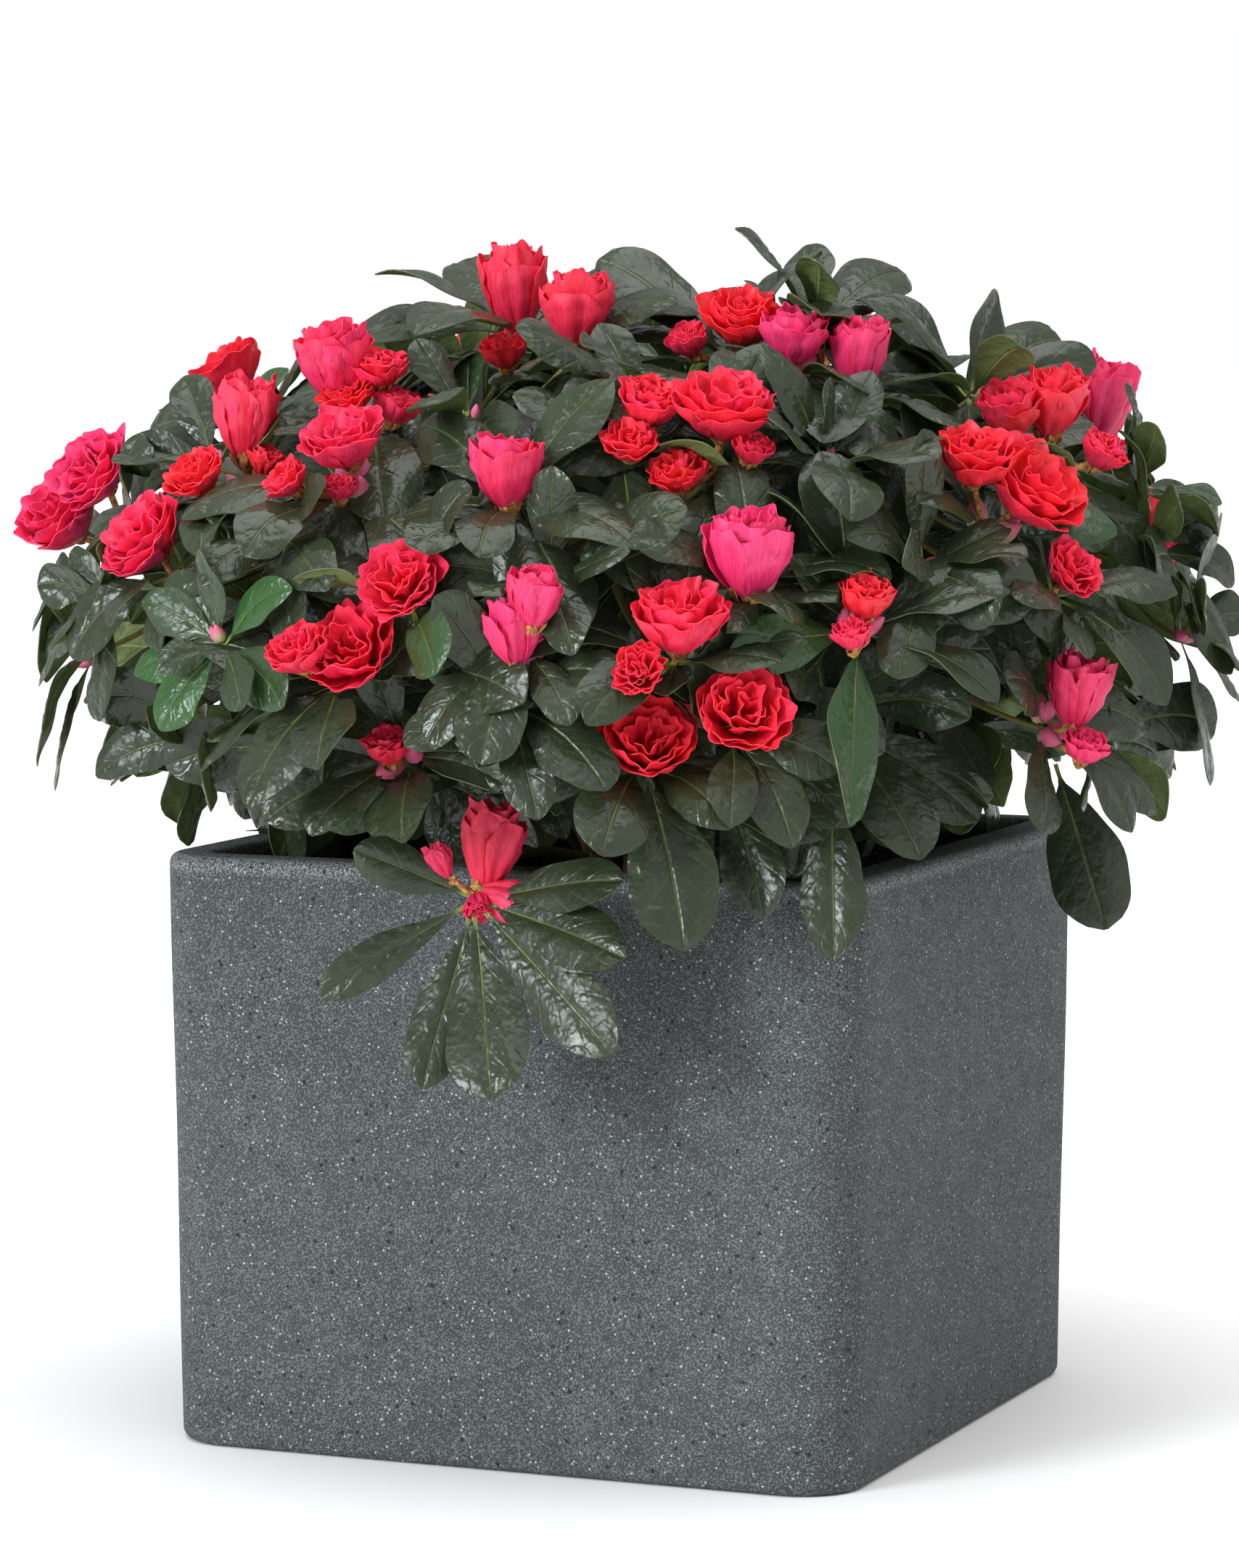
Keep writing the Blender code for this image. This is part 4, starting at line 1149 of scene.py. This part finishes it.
def make_plant():
    """Blooms, buds and leaves. Returns the shoots' places and the materials that the sprig shares."""
    rng = np.random.default_rng(2024)
    petal, scale, leaf, bud_skin = petal_material(), scale_material(), leaf_material(), bud_material()
    sectors = [Pieces() for _ in range(10)]
    scales, buds = Pieces(), Pieces()
    taken, shoots = [], []
    blooms = [(np.array(centre), radius, np.zeros(3)) for centre, radius in CLEAR_ROOMS]
    blooms.append((box_centre("hanging_flower_head") + (0, 0, 0.004), 0.036, SIGHT))
    names = sorted(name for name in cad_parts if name.startswith("flower_head_"))
    for number, name in enumerate(names, 1):
        place, axis, rooms = make_cluster(name, number, rng, petal, scales)
        blooms += rooms
        taken += [place] + [room[0] for room in rooms]
        shoots.append((place, axis, 8, LEAF_LENGTH * rng.uniform(0.78, 1.08), 0.9, 0.0, 1.45))
        if number in BUDDED_BLOOMS:
            add_buds(buds, rng, place, axis, 5, 0.018)
    for azimuth, elevation, reach, leaves, length, droop, tint in SPRAYS:
        place, axis = crown_point(azimuth, elevation, reach), outwards(azimuth, elevation)
        taken.append(place)
        shoots.append((place, axis, leaves, length, droop, tint, 1.25))
        add_buds(buds, rng, place, axis, 2 if tint < 0.5 else 5, 0.010)
    for place, axis, elevation in filling_shoots(rng, taken, OUTER_SHOOTS, OUTER_REACH, SHOOT_GAP):
        tint = 0.40 if rng.uniform() < 0.12 else 0.0
        length = LEAF_LENGTH * rng.uniform(0.78, 1.06)
        shoots.append((place, axis, 7, length, 0.6 + 0.5 * (elevation < 10), tint, 1.25))
    for number, (place, axis, leaves, length, droop, tint, opening) in enumerate(shoots):
        whorl(sectors[number % 10], rng, blooms, place, axis, leaves, length, droop, tint, opening)
    for number, (place, axis, _) in enumerate(filling_shoots(rng, [], INNER_SHOOTS, INNER_REACH, 0.0)):
        shoots.append((place, axis))
        whorl(sectors[number % 10], rng, blooms, place, axis, 8, INNER_LEAF_LENGTH, 0.7, fine=False)
    low_rng = np.random.default_rng(17)
    for foot, tip, width in LOW_LEAVES:
        run = np.array(tip) - foot
        length = 1.03 * np.linalg.norm(run)
        grid = leaf_grid(low_rng, np.array(foot), unit(run), unit(SIGHT), length, width, 0.10)
        add_leaf(sectors[0], grid, 0.1)
    for number, sector in enumerate(sectors, 1):
        obj = sector.build(f"leaf_sprays_{number}", leaf, "planting", "leaf", 70)
        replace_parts(obj, "azalea_foliage")
    scales.build("bud_scales", scale, "planting", "petal", 60)
    buds.build("flower_buds", bud_skin, "planting", "petal", 60)
    return [shoot[0] for shoot in shoots], (petal, scale, leaf)


# Leaves of the sprig over the front: angle from +X in the front view, how far it stands off the
# planter's face, length, width, droop
SPRIG_LEAVES = (
    (157, 0.30, 0.064, 0.026, 0.05), (11, 0.16, 0.090, 0.030, 0.12), (-146, 0.30, 0.090, 0.023, 0.10),
    (-12, 0.20, 0.096, 0.034, 0.14), (-38, 0.18, 0.114, 0.038, 0.08), (-98, 0.28, 0.096, 0.032, 0.05),
    (-73, 0.34, 0.104, 0.044, 0.05),
)
# Its blooms: millimetres across and up from the head's middle, width, height, openness, pink, lift
SPRIG_BLOOMS = (
    (8, -1, 34, 48, 0.22, 0.40, 0.65), (-17, -8, 13, 20, 0.05, 0.55, 0.75),
    (16, -27, 24, 30, 0.42, 0.50, -0.35), (2, -29, 13, 15, 0.30, 0.60, -0.6),
)


def make_sprig(petal, scale, leaf, bark):
    """The low shoot over the front of the rim, with its leaves and blooms."""
    rng = np.random.default_rng(5)
    centre = box_centre("hanging_flower_head")
    place = centre + (0.004, -0.006, -0.027)
    petals, scales, leaves = Pieces(), Pieces(), Pieces()
    across, toward = view_axes(VIEW_AZIMUTH)
    for order, (aside, rise, width, height, openness, pink, lift) in enumerate(SPRIG_BLOOMS):
        middle = centre + (across * aside + (0, 0, rise)) / 1000 + toward * 0.004 * order
        axis = unit(unit(middle - place) + (0.0, -0.10, lift))
        foot = middle - axis * height / 1000 * 0.52
        bloom(petals, rng, foot, axis, width / 1000, height / 1000, pink, openness)
        calyx(scales, rng, foot, axis, 0.34 * width / 1000)
        scales.tube(np.linspace(place, foot + axis * 0.003, 4), 0.0016, 7, 0.0)
    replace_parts(petals.build("hanging_bloom", petal, "planting", "petal", 70), "hanging_flower_head")
    scales.build("hanging_scales", scale, "planting", "petal", 60)
    for number, (angle, off, length, width, droop) in enumerate(SPRIG_LEAVES):
        a = radians(angle)
        heading = unit(np.array((cos(a), -off, sin(a))))
        up = unit(np.array((0.0, -1.0, 0.35)))
        base = place + np.array((cos(a) * 0.004, -0.0012 * number, sin(a) * 0.004))
        grid = leaf_grid(rng, base, heading, up, length, width, droop)
        add_leaf(leaves, grid, 0.05)
    obj = leaves.build("hanging_leaf_whorl", leaf, "planting", "leaf", 70)
    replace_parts(obj, "hanging_leaves")
    stem = Pieces()
    turning = np.array(
        ((0, -0.024, COLLAR_TOP_Z - 0.002), (0, -0.070, 0.314), (0.001, -0.130, 0.3235),
         (0.004, -0.180, 0.3258), (0.008, -0.203, 0.3262), (0.011, -0.214, 0.322), tuple(place))
    )
    stem.tube(turning, (0.003, 0.003, 0.0029, 0.0027, 0.0025, 0.0023, 0.002), 10, 0.55)
    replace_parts(stem.build("hanging_shoot", bark, "planting", "bark"), "hanging_stem")


# --- studio


def make_camera():
    """The photograph's view, through a long lens and looking slightly down."""
    azimuth, pitch = radians(CAMERA_AZIMUTH), radians(CAMERA_PITCH)
    data = bpy.data.cameras.new("camera")
    data.sensor_width, data.lens, data.clip_end = 36.0, 123.5, 50.0
    camera = placed("camera", data)
    camera.location = CAMERA_PLACE
    level = cos(pitch)
    forward = Vector((-sin(azimuth) * level, cos(azimuth) * level, -sin(pitch)))
    camera.rotation_euler = forward.to_track_quat("-Z", "Y").to_euler()
    bpy.context.scene.camera = camera


# Wide, even lights from far off: where each comes from, the angle it spans, strength, colour
LIGHTS = {
    "key": ((-0.50, -0.90, 0.32), 22, 2.8, (0.90, 0.975, 1.0)),
    "top": ((0.10, -0.10, 1.0), 60, 2.3, (1.0, 1.0, 1.0)),
    "right": ((0.95, -0.15, 0.45), 60, 0.35, (1.0, 1.0, 1.0)),
}


def make_lights():
    for name, (source, width, strength, colour) in LIGHTS.items():
        data = bpy.data.lights.new(name, "SUN")
        data.angle, data.energy, data.color = radians(width), strength, colour
        placed(name, data).rotation_euler = Vector(source).to_track_quat("Z", "Y").to_euler()


def make_studio():
    """A pale floor and a white world: soft light on the object, plain white behind it."""
    bpy.ops.mesh.primitive_plane_add(size=60, location=(0, 0, 0))
    floor = bpy.context.object
    floor.name = "studio_floor"
    floor.data.materials.append(floor_material())
    world = bpy.data.worlds.new("studio")
    world.use_nodes = True
    tree = world.node_tree
    ambient, backdrop = tree.nodes["Background"], tree.nodes.new("ShaderNodeBackground")
    for background, strength in ((ambient, 0.58), (backdrop, 1.0)):
        background.inputs["Color"].default_value = (1.0, 1.0, 1.0, 1.0)
        background.inputs["Strength"].default_value = strength
    seen = tree.nodes.new("ShaderNodeLightPath")
    choice = tree.nodes.new("ShaderNodeMixShader")
    tree.links.new(seen.outputs["Is Camera Ray"], choice.inputs[0])
    tree.links.new(ambient.outputs[0], choice.inputs[1])
    tree.links.new(backdrop.outputs[0], choice.inputs[2])
    tree.links.new(choice.outputs[0], tree.nodes["World Output"].inputs["Surface"])
    bpy.context.scene.world = world
    bpy.context.scene.view_settings.view_transform = "Standard"


make_camera()
make_studio()
make_lights()
make_shell()
make_plugs()
make_pot()
make_soil()
places, (petal_skin, scale_skin, leaf_skin) = make_plant()
bark_skin = make_wood(places)
make_sprig(petal_skin, scale_skin, leaf_skin, bark_skin)
